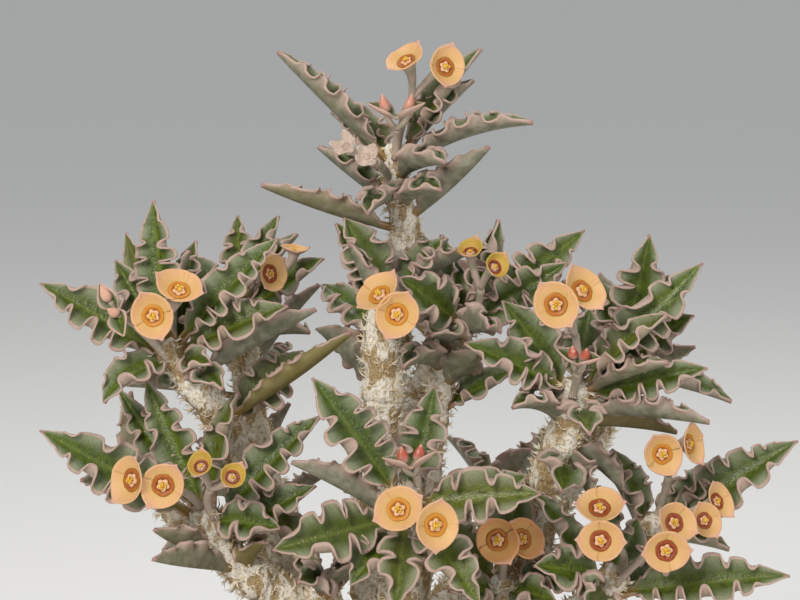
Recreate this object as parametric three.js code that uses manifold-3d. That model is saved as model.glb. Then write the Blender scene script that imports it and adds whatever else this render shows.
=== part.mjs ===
// A potted dwarf spurge: a tuberous trunk with shaggy limbs, leafy shoots whose folded leaves have
// crisped margins, and stalked pairs of bract cups, in a plain round terracotta pot of gritty soil.
// Millimetres, +Z up. The origin is the middle of the pot's underside, and the plant's front faces -Y.
import * as THREE from "three";
import { mergeVertices } from "three/addons/utils/BufferGeometryUtils.js";
import Module from "manifold-3d";

const { Vector3 } = THREE;
const DEGREE = Math.PI / 180;
const GOLDEN_ANGLE = 137.5 * DEGREE;
const wasm = await Module();
wasm.setup();

// Driving dimensions
const POT = {
  height: 76,
  footRadius: 38,
  insideFoot: 35,
  bodyRadius: 51,
  rimRadius: 56,
  bandRadius: 54.5,
  bandHeight: 17,
  bandStep: 0.5,
  rimBevel: 1.2,
  wall: 5,
  floor: 7,
  sides: 24,
  drains: 3,
  drainRadius: 4,
  drainRing: 20,
};
const SOIL = { top: 68, rows: 4, bump: 1.1, twist: 0.25, shoulder: 2 };
const GAP = 0.3;
const SEED = 20261;

// The crown was measured on the picture of its front: across to the right and up from the picture's
// middle, as they look from a lens this far away, raised by this tilt and aimed at this height.
const VIEW = { height: 155, tilt: 8 * DEGREE, distance: 500 };
const TOWARD_VIEWER = new Vector3(0, -1, 0);

// Bark, leaf and bloom sizes that every piece of a kind shares
const LIMB = { sides: 6, step: 13, knob: 0.08, tipShare: 0.8, dome: 0.45, tipLength: 6, reach: 1.5 };
const TUBER = {
  sides: 10,
  ripple: 0.05,
  // height above the table, radius, and shift to the right of the pot's axis
  rings: [
    [20, 1.6, 1], [30, 5, 1], [42, 8.5, 0], [54, 11.5, -1],
    [65, 13, -2], [73, 12.4, -3], [80, 9.6, -3], [85, 5, -3],
  ],
};
const STIPULE = {
  length: 1.5,
  lengthShare: 0.3,
  width: 0.6,
  root: 0.85,
  pace: 12,
  fromLeaves: 4,
  fromFork: 9,
  lean: [0.2, 0.9],
};
const LEAF = {
  sunk: 0.42,
  rootDepth: 2.2,
  petiole: 0.14,
  petioleHalf: 0.75,
  riseShare: 0.8,
  fallShare: 1.15,
  topRise: 0.25,
  keel: 0.95,
  curl: 0.24,
  lobe: 0.2,
  halfWave: 4,
  fewestHalfWaves: 4,
  mostHalfWaves: 7,
};
// Shares of a cup's radius, except its wall; a cup under the smallest radius is a closed bud
const CUP = {
  sides: 6,
  wall: 0.6,
  depth: 0.42,
  back: 0.67,
  lip: 0.1,
  boss: 0.42,
  tipRise: 0.2,
  notch: 0.06,
  smallest: 2.05,
  budBelly: 0.9,
  budTip: 1.5,
};
const STALK = {
  radius: 0.75,
  armRadius: 0.65,
  steps: 2,
  // how far off the stem's axis a stalk stands below the tip, and where and how high it forks
  offAxis: 0.85,
  forkShare: 0.45,
  forkRise: 0.12,
  straight: 3,
  armBend: 0.45,
};
// Leaves added by rule
const RULE = {
  first: 2,
  bareEnd: 6,
  jitter: 0.3,
  spread: [34, 58],
  spreadJitter: 8,
  length: [19, 25],
  halfWidth: [3.7, 4.6],
  bend: [4, 26],
  fold: [24, 36],
  hiddenFrom: -0.1,
  pushBack: 0.3,
};

// How leaves are kept clear of each other, of stems and of blooms
const CLEAR = {
  bladeRadius: 1,
  footRadius: 0.4,
  widening: 2,
  stemPace: 2,
  cupRadius: 1.3,
  cupShares: [0, 0.45, 0.9],
  cupSides: 10,
  ownStem: 5,
  ownStemShare: 0.6,
  crossing: 0.3,
  fewSoft: 1,
  gap: 0.45,
  rows: 12,
  columns: 5,
  nearBase: 0.42,
  shifts: [0, 3, -3, 6, -6, 9, -9, 12, -12, 15, -15],
  turns: [7, 14, 22, 30],
  directions: 8,
  lengths: [1, 0.86, 0.72],
  lowest: POT.height + 3,
};

// Limbs and shoots. way: points across, up and toward the viewer, from the root to the tip.
// leafy: the length at the tip that bears leaves. more: leaves added by rule round the shoot.
// leaves: tip across, up and toward the viewer; distance of the leaf's foot below the shoot's tip;
// half width; bend along the leaf and fold of each half, in degrees; how far the face turns to the viewer.
const SHOOTS = [
  {
    name: "centre",
    radii: [5.4, 3.7],
    leafy: 22,
    way: [
      [-4, -72, 2], [-5, -55, 4], [-4.5, -40, 4], [-4, -26, 4],
      [-3.2, -16, 4], [-3.6, -7, 4], [-1, 2.5, 6],
    ],
    more: 3,
    leaves: [
      [-11, 16.5, 6, 3, 5, 8, 24, 1.2],
      [-9.5, 11.5, 15, 6, 2.8, 0, 40, 0.4],
      [14.5, 13.5, 3, 2, 4.6, 22, 30, -0.7],
      [-15, 0.5, -3, 20, 5, 6, 20, -1],
    ],
  },
  {
    name: "top",
    from: "centre",
    radii: [3.6, 2.7],
    leafy: 20,
    way: [
      [-4.5, -31, 4], [-2.5, -19, -6], [-0.5, -6, -6], [1, 8, -4],
      [0.8, 16, -4], [-1, 23, -3], [-0.5, 31, -2],
    ],
    more: 3,
    leaves: [
      [-24, 50, 4, 3, 4.2, -6, 42, 0.15],
      [26.5, 36, 8, 4, 4, 30, 40, 0.1],
      [16, 50.5, -6, 2, 3.8, 10, 34, 0.2],
      [-27.5, 23.5, 2, 17, 3.8, -12, 44, -0.1],
      [17.5, 31, 4, 15, 3.8, -16, 46, -0.4],
      [-16, 31, -7, 12, 3.6, -8, 40, -0.2],
      [-13.5, 38, -14, 5, 3.6, 6, 30, 0],
      [9, 28, 15, 6, 4.2, 20, 34, -0.3],
      [8, 22.5, 13, 12, 4, 24, 34, 0],
      [-8, 24, 12, 10, 3.8, 16, 34, -0.3],
    ],
  },
  {
    name: "upper_left",
    radii: [4.6, 2.9],
    leafy: 25,
    way: [
      [-7, -70, 0], [-15, -62, -4], [-26, -45, -4], [-33, -29, 0],
      [-38, -21, 4], [-42.5, -15.5, 5], [-47.5, -8.5, 6],
    ],
    more: 2,
    leaves: [
      [-72, 3.5, 9, 3, 4.5, 6, 24, 1.3],
      [-49.5, 20, 3, 1, 4.2, 6, 26, 1.5],
      [-57, 8, -3, 2, 3.6, 10, 40, -0.5],
      [-55, 13.5, -8, 4, 3.6, 4, 34, 0.2],
      [-41, 12, -8, 4, 3.8, 14, 30, 0.7],
      [-24.5, 12.5, 0, 2, 4.2, 4, 28, 1.1],
      [-22.5, -1, 8, 3, 4.4, 8, 32, 0.9],
      [-17, -1.5, 3, 9, 4.2, -6, 36, -0.8],
      [-59.5, -20.5, 13, 5, 4.2, 86, 26, 0.7],
      [-38, -12.5, 15, 6, 3, 20, 34, 0.4],
      [-35.5, -17.5, 16, 10, 3.4, 50, 38, -0.5],
      [-10, -6, 7, 20, 3.2, -14, 48, -0.6],
      [-19.5, -10, -4, 22, 4.8, -8, 20, 1.2],
    ],
  },
  {
    name: "left_middle",
    from: "upper_left",
    radii: [3.4, 2.7],
    leafy: 14,
    way: [[-25, -46, -4], [-28, -31, -12], [-30.5, -14, -16], [-32.3, -0.9, -15]],
    more: 3,
    leaves: [
      [-24.5, 17, -14, 1, 3.6, 10, 34, 0.5],
      [-32.5, 17, -21, 2, 3.2, 6, 34, 0.2],
      [-15.5, 8.5, -8, 2, 4, 10, 28, 1],
      [-18, -6, -7, 7, 4, 20, 36, -0.6],
      [-42, 9, -17, 4, 3.8, 14, 30, 0.8],
    ],
  },
  {
    name: "centre_right",
    radii: [3.8, 2.5],
    leafy: 25,
    way: [
      [-1, -71, -3], [3, -56, -5], [5, -42, -4], [6, -28, -2],
      [8, -19, -1], [9.5, -9, 0], [14, -4, 2.5],
    ],
    more: 3,
    leaves: [
      [0, 4.5, 10, 2, 4.8, 12, 24, 1.4],
      [33.5, 7.5, 5, 3, 4, 4, 32, 0.9],
      [37, 14, -5, 1, 4.2, 6, 26, 1.2],
      [18.5, 14, -3, 1, 3.6, 6, 34, 0.3],
      [11, 8, 0, 2, 2.6, 0, 40, 0.3],
      [18, -5, 21, 4, 4, 26, 34, 0],
      [6.5, -6.5, 16, 7, 4.8, 30, 20, -1],
      [0.5, -13, 11, 12, 3.8, 34, 40, -0.5],
      [15.5, -10, 4, 15, 4.6, -6, 22, -1],
      [22.5, -14, 1, 20, 3.8, -8, 30, 0.6],
    ],
  },
  {
    name: "right",
    radii: [6.2, 3.1],
    leafy: 20,
    way: [
      [4, -72, 1], [14, -66, 1], [22, -57, 1], [27, -46, 2],
      [30, -34, 4], [33, -26, 6], [35.5, -16.5, 10],
    ],
    more: 1,
    leaves: [
      [13, -8.5, 14, 2, 4.3, 8, 30, 0.9],
      [20.5, 0, 2, 3, 4.6, 10, 24, 0.8],
      [38, -1.5, 15, 2, 4, 16, 30, -0.9],
      [60.5, 7.5, 7, 2, 4.5, 6, 22, 1.3],
      [53.5, -12, 17, 1, 3.6, 4, 40, -0.2],
      [61.5, -13.5, 11, 3, 3.9, 6, 28, 1.3],
      [62, -24, 14, 6, 4.2, 10, 38, -0.5],
      [55.5, -26, 3, 9, 4, 14, 34, -0.5],
      [25, -17, 23, 5, 4, 60, 34, -0.3],
      [22.5, -21, 15, 9, 4, 46, 36, -0.4],
      [38, -26.5, 24, 6, 4, 26, 32, 0.4],
      [38.5, -39, 9, 14, 4, 6, 34, -0.6],
      [45, -37.5, 5, 13, 4, 8, 34, -0.6],
      [32.5, -38, 17, 17, 4.6, 6, 24, -0.9],
    ],
  },
  {
    name: "right_back",
    from: "right",
    radii: [3.4, 2.6],
    leafy: 13,
    way: [[28, -43, 2.2], [32, -35, -5], [42, -19, -9], [45.5, -9, -7]],
    more: 3,
    leaves: [
      [50, 13, -4, 2, 4.7, 6, 22, 1.5],
      [58.5, -3, 0, 3, 4.2, 10, 26, 1.4],
      [66.5, -20, -4, 6, 3.8, 16, 34, 0.2],
      [40, 4, -12, 3, 4, 10, 30, 0.4],
    ],
  },
  {
    name: "lower_left",
    radii: [5.2, 3.2],
    leafy: 20,
    way: [
      [-7, -72, 4], [-14, -67, 6], [-22.5, -60, 8],
      [-30, -55, 10], [-36, -49.5, 12], [-40, -41.5, 14],
    ],
    more: 1,
    leaves: [
      [-72, -26, 15, 2, 5, 4, 20, 1.6],
      [-47.5, -14.5, 11, 3, 4.1, 6, 26, 1.4],
      [-56.5, -17.5, 3, 3, 3.4, 4, 34, 1],
      [-24, -45.5, 27, 3, 4, 12, 32, 0.9],
      [-16, -23, 11, 4, 4.6, 6, 30, 0.9],
      [-17, -37, 15, 8, 3.8, 6, 28, 0.9],
      [-49.5, -51.5, 20, 14, 3.8, -8, 56, -0.3],
      [-49, -45.5, 23, 8, 3.4, -36, 44, -0.2],
      [-27.5, -48, 19, 16, 3.6, 8, 32, -0.9],
    ],
  },
  {
    name: "lower_centre",
    radii: [4.6, 2.9],
    leafy: 16,
    way: [[-3, -72, 10], [-1, -62, 16], [0, -53, 22], [1, -45, 26], [1.5, -38, 29]],
    more: 1,
    leaves: [
      [-17.5, -15.5, 26, 3, 5, 8, 26, 1.4],
      [-25.5, -50, 34, 6, 5, 10, 22, 1.5],
      [-21.5, -32, 18, 7, 4.2, 8, 28, -1.1],
      [26, -29.5, 27, 3, 4.6, 10, 28, 1.1],
      [25.5, -35, 19, 7, 4.6, 8, 24, 1],
      [16, -61, 40, 4, 4.2, 40, 30, 1.1],
      [15, -54, 28, 9, 4, 20, 30, -0.7],
      [-1, -62, 42, 6, 3.8, 30, 28, 1],
      [-10, -57, 34, 9, 4, 30, 28, 0.2],
      [7, -17, 20, 5, 4, 6, 28, 0.6],
    ],
  },
  {
    name: "low_right",
    from: "right",
    radii: [3, 2.5],
    leafy: 9,
    way: [[17, -63, 2], [20, -60, 9], [20.5, -55.5, 13]],
    more: 3,
    leaves: [
      [31, -60, 20, 3, 3.6, 20, 30, 0.6],
      [10, -58, 20, 4, 3.4, 20, 30, 0.5],
    ],
  },
  {
    name: "lower_right",
    radii: [4.6, 3],
    leafy: 14,
    way: [[2, -73, 6], [14, -72, 8], [27, -67, 10], [37, -61.5, 12], [44, -54, 13]],
    more: 2,
    leaves: [
      [78, -55, 17, 5, 4.9, 6, 26, 1.3],
      [27, -53, 22, 3, 4.8, 14, 24, 1],
      [24.5, -38, 7, 6, 4.2, 6, 30, 0.3],
      [47.5, -43.5, 17, 3, 3.8, 20, 32, 0],
      [37, -62, 30, 5, 4.6, 20, 24, 1],
    ],
  },
  {
    name: "far_right",
    from: "lower_right",
    radii: [3.4, 2.6],
    leafy: 12,
    way: [[29, -66, 10.5], [37, -62.5, 2], [46, -54, -2], [51.5, -43, -2]],
    more: 2,
    leaves: [
      [79.5, -28, 3, 3, 4.9, 4, 22, 1.4],
      [59.5, -36, 2, 2, 3.8, 20, 24, 1.3],
      [66, -49.5, 10, 4, 3.8, 14, 34, 0.1],
      [43, -30, -3, 3, 3.8, 6, 30, 0.6],
    ],
  },
  {
    name: "low_left",
    from: "lower_left",
    radii: [3, 2.5],
    leafy: 9,
    way: [[-15, -66, 7], [-15.5, -61, 14], [-15, -56, 17]],
    more: 3,
    leaves: [
      [-20, -56, 30, 2, 4, 26, 26, 1],
      [-9, -52, 26, 3, 3.4, 14, 30, 0.4],
    ],
  },
  {
    name: "back_left",
    from: "upper_left",
    radii: [3.6, 2.7],
    leafy: 13,
    way: [[-20, -54, -4], [-24, -42, -22], [-30, -26, -32], [-31, -12, -36]],
    more: 5,
    leaves: [],
  },
  {
    name: "back_centre",
    from: "centre",
    radii: [3.8, 2.7],
    leafy: 13,
    way: [[-4.8, -40, 4], [0, -27, -12], [6, -14, -26], [8.5, -3, -32]],
    more: 5,
    leaves: [],
  },
  {
    name: "back_right",
    from: "right",
    radii: [3.6, 2.7],
    leafy: 13,
    way: [[26.5, -48, 2], [34, -36, -14], [41, -24, -28], [43.5, -13, -35]],
    more: 5,
    leaves: [],
  },
  {
    name: "far_left",
    from: "lower_left",
    radii: [3.4, 2.6],
    leafy: 12,
    way: [[-23, -59.5, 8], [-30, -55, -6], [-43, -45, -14], [-51, -35, -17]],
    more: 4,
    leaves: [],
  },
  {
    name: "back_low_right",
    radii: [4.2, 2.7],
    leafy: 13,
    way: [[0, -72, -6], [4, -66, -20], [12, -56, -33], [18, -46, -41], [20, -37, -45]],
    more: 5,
    leaves: [],
  },
  {
    name: "back_low_left",
    radii: [4.2, 2.7],
    leafy: 13,
    way: [[-6, -72, -6], [-12, -66, -18], [-22, -56, -30], [-29, -47, -37], [-31, -39, -40]],
    more: 5,
    leaves: [],
  },
];

// Blooms on a shoot. below: how far under the shoot's tip the stalk stands. cups: centre across, up and
// toward the viewer; the way the cup faces, likewise; turn of the two bract tips, in degrees; radius.
// buds: closed buds that stand in a pair of bracts. dry: withered cups, which are crumpled and narrow.
const BLOOMS = [
  {
    name: "top_pair",
    shoot: "top",
    below: 0,
    cups: [
      [0.8, 48.7, 6, -0.35, 0.75, 0.55, 42, 3.8],
      [9.6, 46.9, 7, 0.42, 0.25, 0.85, 80, 3.9],
    ],
  },
  {
    name: "top_buds",
    shoot: "top",
    below: 1,
    cups: [
      [-3, 38.5, 6, -0.2, 0.9, 0.3, 80, 1.9],
      [1.8, 38.5, 7, 0.2, 0.9, 0.3, 70, 1.9],
    ],
  },
  {
    name: "top_dry",
    shoot: "top",
    below: 8,
    cups: [
      [-11.2, 31.2, 9, -0.4, 0.5, 0.8, 30, 2.4],
      [-6.6, 29, 17, 0, 0.4, 0.9, 80, 2.2],
    ],
  },
  {
    name: "upper_left_pair",
    shoot: "upper_left",
    below: 0,
    cups: [
      [-49.6, -3.2, 17, -0.05, 0.1, 1, 114, 4.35],
      [-44.1, 2.9, 13, 0.12, 0.75, 0.65, -22, 4.4],
    ],
  },
  {
    name: "upper_left_buds",
    shoot: "upper_left",
    below: 2,
    cups: [
      [-58.6, 0.8, 15, -0.4, 0.8, 0.4, 60, 1.8],
      [-57, -2.6, 16, -0.5, 0.4, 0.6, 30, 1.5],
    ],
  },
  {
    name: "left_middle_bloom",
    shoot: "left_middle",
    below: 0,
    cups: [
      [-25.2, 5.4, 2, 0.7, 0.2, 0.66, 50, 3.8],
      [-21, 10.5, -8, 0.2, 0.9, 0.1, 20, 2.6],
    ],
  },
  {
    name: "centre_pair",
    shoot: "centre",
    below: 0,
    cups: [
      [-4.7, 2, 20, -0.4, 0.7, 0.58, 40, 4.4],
      [-0.6, -3, 23, 0.03, 0.05, 1, 65, 4.35],
    ],
  },
  {
    name: "centre_right_pair",
    shoot: "centre_right",
    below: 0,
    cups: [
      [14, 10.2, 9, -0.1, 0.82, 0.55, 60, 2.6],
      [19.4, 6.9, 12, 0.45, 0.45, 0.75, 60, 2.6],
    ],
  },
  {
    name: "right_pair",
    shoot: "right",
    below: 0,
    cups: [
      [31.2, -1, 22, -0.05, 0.1, 1, -54, 4.5],
      [37.2, 2.4, 19, 0.45, 0.48, 0.72, -50, 4.5],
    ],
  },
  {
    name: "right_buds",
    shoot: "right",
    below: 1,
    cups: [
      [34.6, -11, 21, -0.1, 0.9, 0.5, 0, 1.5],
      [37, -11.5, 22, 0.1, 0.9, 0.5, 0, 1.5],
    ],
  },
  {
    name: "far_right_pair",
    shoot: "far_right",
    below: 0,
    cups: [
      [52.8, -31, 13, 0.14, 0.05, 1, 120, 4.1],
      [58.9, -28.7, 9, 0.76, 0.2, 0.58, -62, 3.9],
    ],
  },
  {
    name: "far_right_young",
    shoot: "far_right",
    below: 2,
    cups: [
      [61.4, -44, 13, 0.35, 0.3, 0.85, -60, 3.4],
      [64.2, -40, 8, 0.6, 0.4, 0.65, -50, 3.5],
    ],
  },
  {
    name: "lower_right_pair",
    shoot: "lower_right",
    below: 0,
    cups: [
      [40, -40.8, 22, 0, 0.72, 0.68, 0, 4.3],
      [40.2, -48.2, 26, 0, 0.2, 1, -3, 4.2],
    ],
  },
  {
    name: "lower_right_young",
    shoot: "lower_right",
    below: 1,
    cups: [
      [55.5, -44.4, 20, 0.4, 0.35, 0.85, -25, 4.0],
      [53.4, -50.4, 25, 0, 0.05, 1, 5, 4.25],
    ],
  },
  {
    name: "lower_left_pair",
    shoot: "lower_left",
    below: 0,
    cups: [
      [-54.8, -36, 25, -0.64, 0.15, 0.72, 55, 4.6],
      [-47.6, -37.3, 27, -0.05, 0.05, 1, 56, 4.35],
    ],
  },
  {
    name: "lower_left_young",
    shoot: "lower_left",
    below: 1,
    cups: [
      [-40, -32.9, 25, -0.15, 0.6, 0.75, 80, 2.6],
      [-33.4, -35.2, 26, 0.2, 0.5, 0.8, 60, 2.6],
    ],
  },
  {
    name: "lower_centre_pair",
    shoot: "lower_centre",
    below: 0,
    cups: [
      [-0.4, -41.7, 42, -0.08, 0.35, 0.92, 26, 4.4],
      [7.6, -45.2, 43, 0.3, 0.1, 0.95, 84, 4.4],
    ],
  },
  {
    name: "lower_centre_buds",
    shoot: "lower_centre",
    below: 1,
    cups: [
      [0.6, -31.8, 31, -0.15, 1, 0.1, 10, 1.7],
      [3.8, -31.4, 31, 0.15, 1, 0.1, 10, 1.7],
    ],
  },
  {
    name: "low_right_pair",
    shoot: "low_right",
    below: 0,
    cups: [
      [19.5, -48.2, 21, -0.05, 0.12, 1, -60, 4.4],
      [25.2, -47.6, 18, 0.5, 0.35, 0.8, -35, 4.2],
    ],
  },
  {
    name: "back_left_pair",
    shoot: "back_left",
    below: 0,
    cups: [
      [-36, -4, -46, -0.3, 0.6, -0.8, 30, 4.6],
      [-27, -2, -47, 0.2, 0.7, -0.7, 100, 4.5],
    ],
  },
  {
    name: "back_centre_pair",
    shoot: "back_centre",
    below: 0,
    cups: [
      [5, 6, -42, -0.2, 0.6, -0.8, 60, 4.6],
      [13, 5, -43, 0.3, 0.5, -0.8, 0, 4.5],
    ],
  },
  {
    name: "back_right_pair",
    shoot: "back_right",
    below: 0,
    cups: [
      [40, -4, -46, -0.2, 0.5, -0.9, 20, 4.6],
      [49, -5, -44, 0.4, 0.6, -0.7, 80, 4.4],
    ],
  },
];

// Seeded random draws
class Draw {
  constructor(seed) {
    this.state = seed;
  }
  between(low, high) {
    this.state = (this.state * 1664525 + 1013904223) % 4294967296;
    return low + ((high - low) * this.state) / 4294967296;
  }
}

// A point of the crown, from how it looks on the picture of the front and how near it is to the viewer
function seen(across, up, toward) {
  const [sin, cos] = [Math.sin(VIEW.tilt), Math.cos(VIEW.tilt)];
  const [lensY, lensZ] = [-VIEW.distance * cos, VIEW.height + VIEW.distance * sin];
  const rise = up / VIEW.distance;
  const reach = (-toward - lensY) / (cos + rise * sin);
  return new Vector3((reach * across) / VIEW.distance, -toward, lensZ + reach * (rise * cos - sin));
}

function facing(across, up, toward) {
  return new Vector3(across, -toward, up).normalize();
}

function turned(vector, axis, angle) {
  return vector.clone().applyAxisAngle(axis, angle);
}

function across(vector, direction) {
  return vector.clone().addScaledVector(direction, -vector.dot(direction));
}

function anyNormal(direction) {
  const helper = Math.abs(direction.z) < 0.9 ? new Vector3(0, 0, 1) : new Vector3(1, 0, 0);
  return across(helper, direction).normalize();
}

// Solids: a loft joins rings of the same number of points, or ends in a single point. leanings says,
// for each side of the ring, which diagonal splits its quads.
function loft(rings, leanings = []) {
  const points = [];
  const triangles = [];
  const starts = rings.map((ring) => {
    const start = points.length;
    points.push(...ring);
    return start;
  });
  const sides = Math.max(...rings.map((ring) => ring.length));
  for (let r = 0; r + 1 < rings.length; r++) {
    const [a, b] = [starts[r], starts[r + 1]];
    for (let k = 0; k < sides; k++) {
      const next = (k + 1) % sides;
      if (rings[r].length === 1) triangles.push([a, b + next, b + k]);
      else if (rings[r + 1].length === 1) triangles.push([a + k, a + next, b]);
      else if (leanings[k]) triangles.push([a + k, a + next, b + k], [a + next, b + next, b + k]);
      else triangles.push([a + k, a + next, b + next], [a + k, b + next, b + k]);
    }
  }
  for (let k = 1; k + 1 < sides; k++) {
    if (rings[0].length > 1) triangles.push([0, k + 1, k]);
    const last = starts[rings.length - 1];
    if (rings[rings.length - 1].length > 1) triangles.push([last, last + k, last + k + 1]);
  }
  return solidOf(points, triangles);
}

// A closed solid with its faces pointing out
function solidOf(points, triangles) {
  let volume = 0;
  for (const [a, b, c] of triangles) volume += points[a].dot(points[b].clone().cross(points[c]));
  const outward = volume < 0 ? triangles.map(([a, b, c]) => [a, c, b]) : triangles;
  const geometry = new THREE.BufferGeometry().setFromPoints(points).setIndex(outward.flat());
  return solidOfGeometry(geometry);
}

function solidOfGeometry(geometry) {
  geometry.deleteAttribute("normal");
  geometry.deleteAttribute("uv");
  const merged = mergeVertices(geometry, 1e-4);
  return new wasm.Manifold(
    new wasm.Mesh({
      numProp: 3,
      vertProperties: merged.attributes.position.array,
      triVerts: new Uint32Array(merged.index.array),
    }),
  );
}

// The largest body of a solid, without the loose scraps that a join or a cut can leave
function mainBody(solid) {
  const bodies = solid.decompose().sort((a, b) => b.volume() - a.volume());
  return bodies[0];
}

function circle(centre, first, second, radius, sides, knob = () => 1) {
  return Array.from({ length: sides }, (_, k) => {
    const angle = (2 * Math.PI * k) / sides;
    const reach = radius * knob(k);
    return centre
      .clone()
      .addScaledVector(first, reach * Math.cos(angle))
      .addScaledVector(second, reach * Math.sin(angle));
  });
}

// A tube along points, with the direction and the radius at each, and a dome this high at its end
function tube(points, directions, radii, sides, { knob, dome = 0 } = {}) {
  let first = anyNormal(directions[0]);
  const rings = points.map((point, i) => {
    first = across(first, directions[i]).normalize();
    const second = directions[i].clone().cross(first);
    return circle(point, first, second, radii[i], sides, knob);
  });
  const last = points.length - 1;
  if (dome) rings.push([points[last].clone().addScaledVector(directions[last], dome)]);
  return loft(rings);
}

function directionsAlong(points) {
  return points.map((point, i) => {
    const before = points[Math.max(i - 1, 0)];
    const after = points[Math.min(i + 1, points.length - 1)];
    return after.clone().sub(before).normalize();
  });
}

// Limbs: a smooth way through the measured points, as closely spaced samples
const SAMPLES = 80;

function smoothWay(way) {
  const points = way.map((place) => seen(...place));
  const curve = new THREE.CatmullRomCurve3(points, false, "catmullrom", 0.5);
  return curve.getPoints(SAMPLES);
}

function lengthsOf(samples) {
  const lengths = [0];
  for (let i = 1; i < samples.length; i++) {
    lengths.push(lengths[i - 1] + samples[i].distanceTo(samples[i - 1]));
  }
  return lengths;
}

class Limb {
  constructor(shoot) {
    this.shoot = shoot;
    this.samples = smoothWay(shoot.way);
    this.lengths = lengthsOf(this.samples);
    this.total = this.lengths[SAMPLES];
    this.tip = this.samples[SAMPLES];
    this.axis = this.tip.clone().sub(this.at(LIMB.tipLength)).normalize();
  }
  // The point this far below the tip
  at(below) {
    const goal = Math.max(this.total - below, 0);
    let i = 1;
    while (i < SAMPLES && this.lengths[i] < goal) i++;
    const share = (goal - this.lengths[i - 1]) / (this.lengths[i] - this.lengths[i - 1]);
    return this.samples[i - 1].clone().lerp(this.samples[i], share);
  }
  directionAt(below) {
    return this.at(Math.max(below - LIMB.reach, 0)).sub(this.at(below + LIMB.reach)).normalize();
  }
  radiusAt(below) {
    const [root, tip] = this.shoot.radii;
    return tip + (root - tip) * Math.min(below / this.total, 1);
  }
  // The stretch between two distances below the tip, as a tube that may stand off by a clearance
  stretch(from, to, { clearance = 0, domed = false } = {}) {
    const steps = Math.max(Math.round((from - to) / LIMB.step), 2);
    const belows = Array.from({ length: steps + 1 }, (_, i) => from + ((to - from) * i) / steps);
    const points = belows.map((below) => this.at(below));
    const directions = belows.map((below) => this.directionAt(below));
    const radii = belows.map((below) => this.radiusAt(below) + clearance);
    if (domed) radii[steps] *= LIMB.tipShare;
    const draw = new Draw(SEED + this.shoot.name.length);
    const knob = () => 1 + (clearance ? LIMB.knob : draw.between(-LIMB.knob, LIMB.knob));
    return tube(points, directions, radii, LIMB.sides, { knob, dome: domed ? LIMB.dome * radii[steps] : 0 });
  }
}

const limbs = new Map(SHOOTS.map((shoot) => [shoot.name, new Limb(shoot)]));

// Obstacles: round points that leaves keep clear of, each with its owner
const obstacles = [];

function addObstacle(point, radius, owner, kind) {
  obstacles.push({ x: point.x, y: point.y, z: point.z, radius, owner, kind });
}

for (const limb of limbs.values()) {
  for (let below = 0; below <= limb.total; below += CLEAR.stemPace) {
    addObstacle(limb.at(below), limb.radiusAt(below) * (1 + LIMB.knob), limb.shoot.name, "stem");
  }
}

// Blooms: the stalk forks a little way above the shoot and each arm runs into the back of its cup.
function bend(start, middle, end) {
  return new THREE.QuadraticBezierCurve3(start, middle, end).getPoints(STALK.steps);
}

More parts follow.
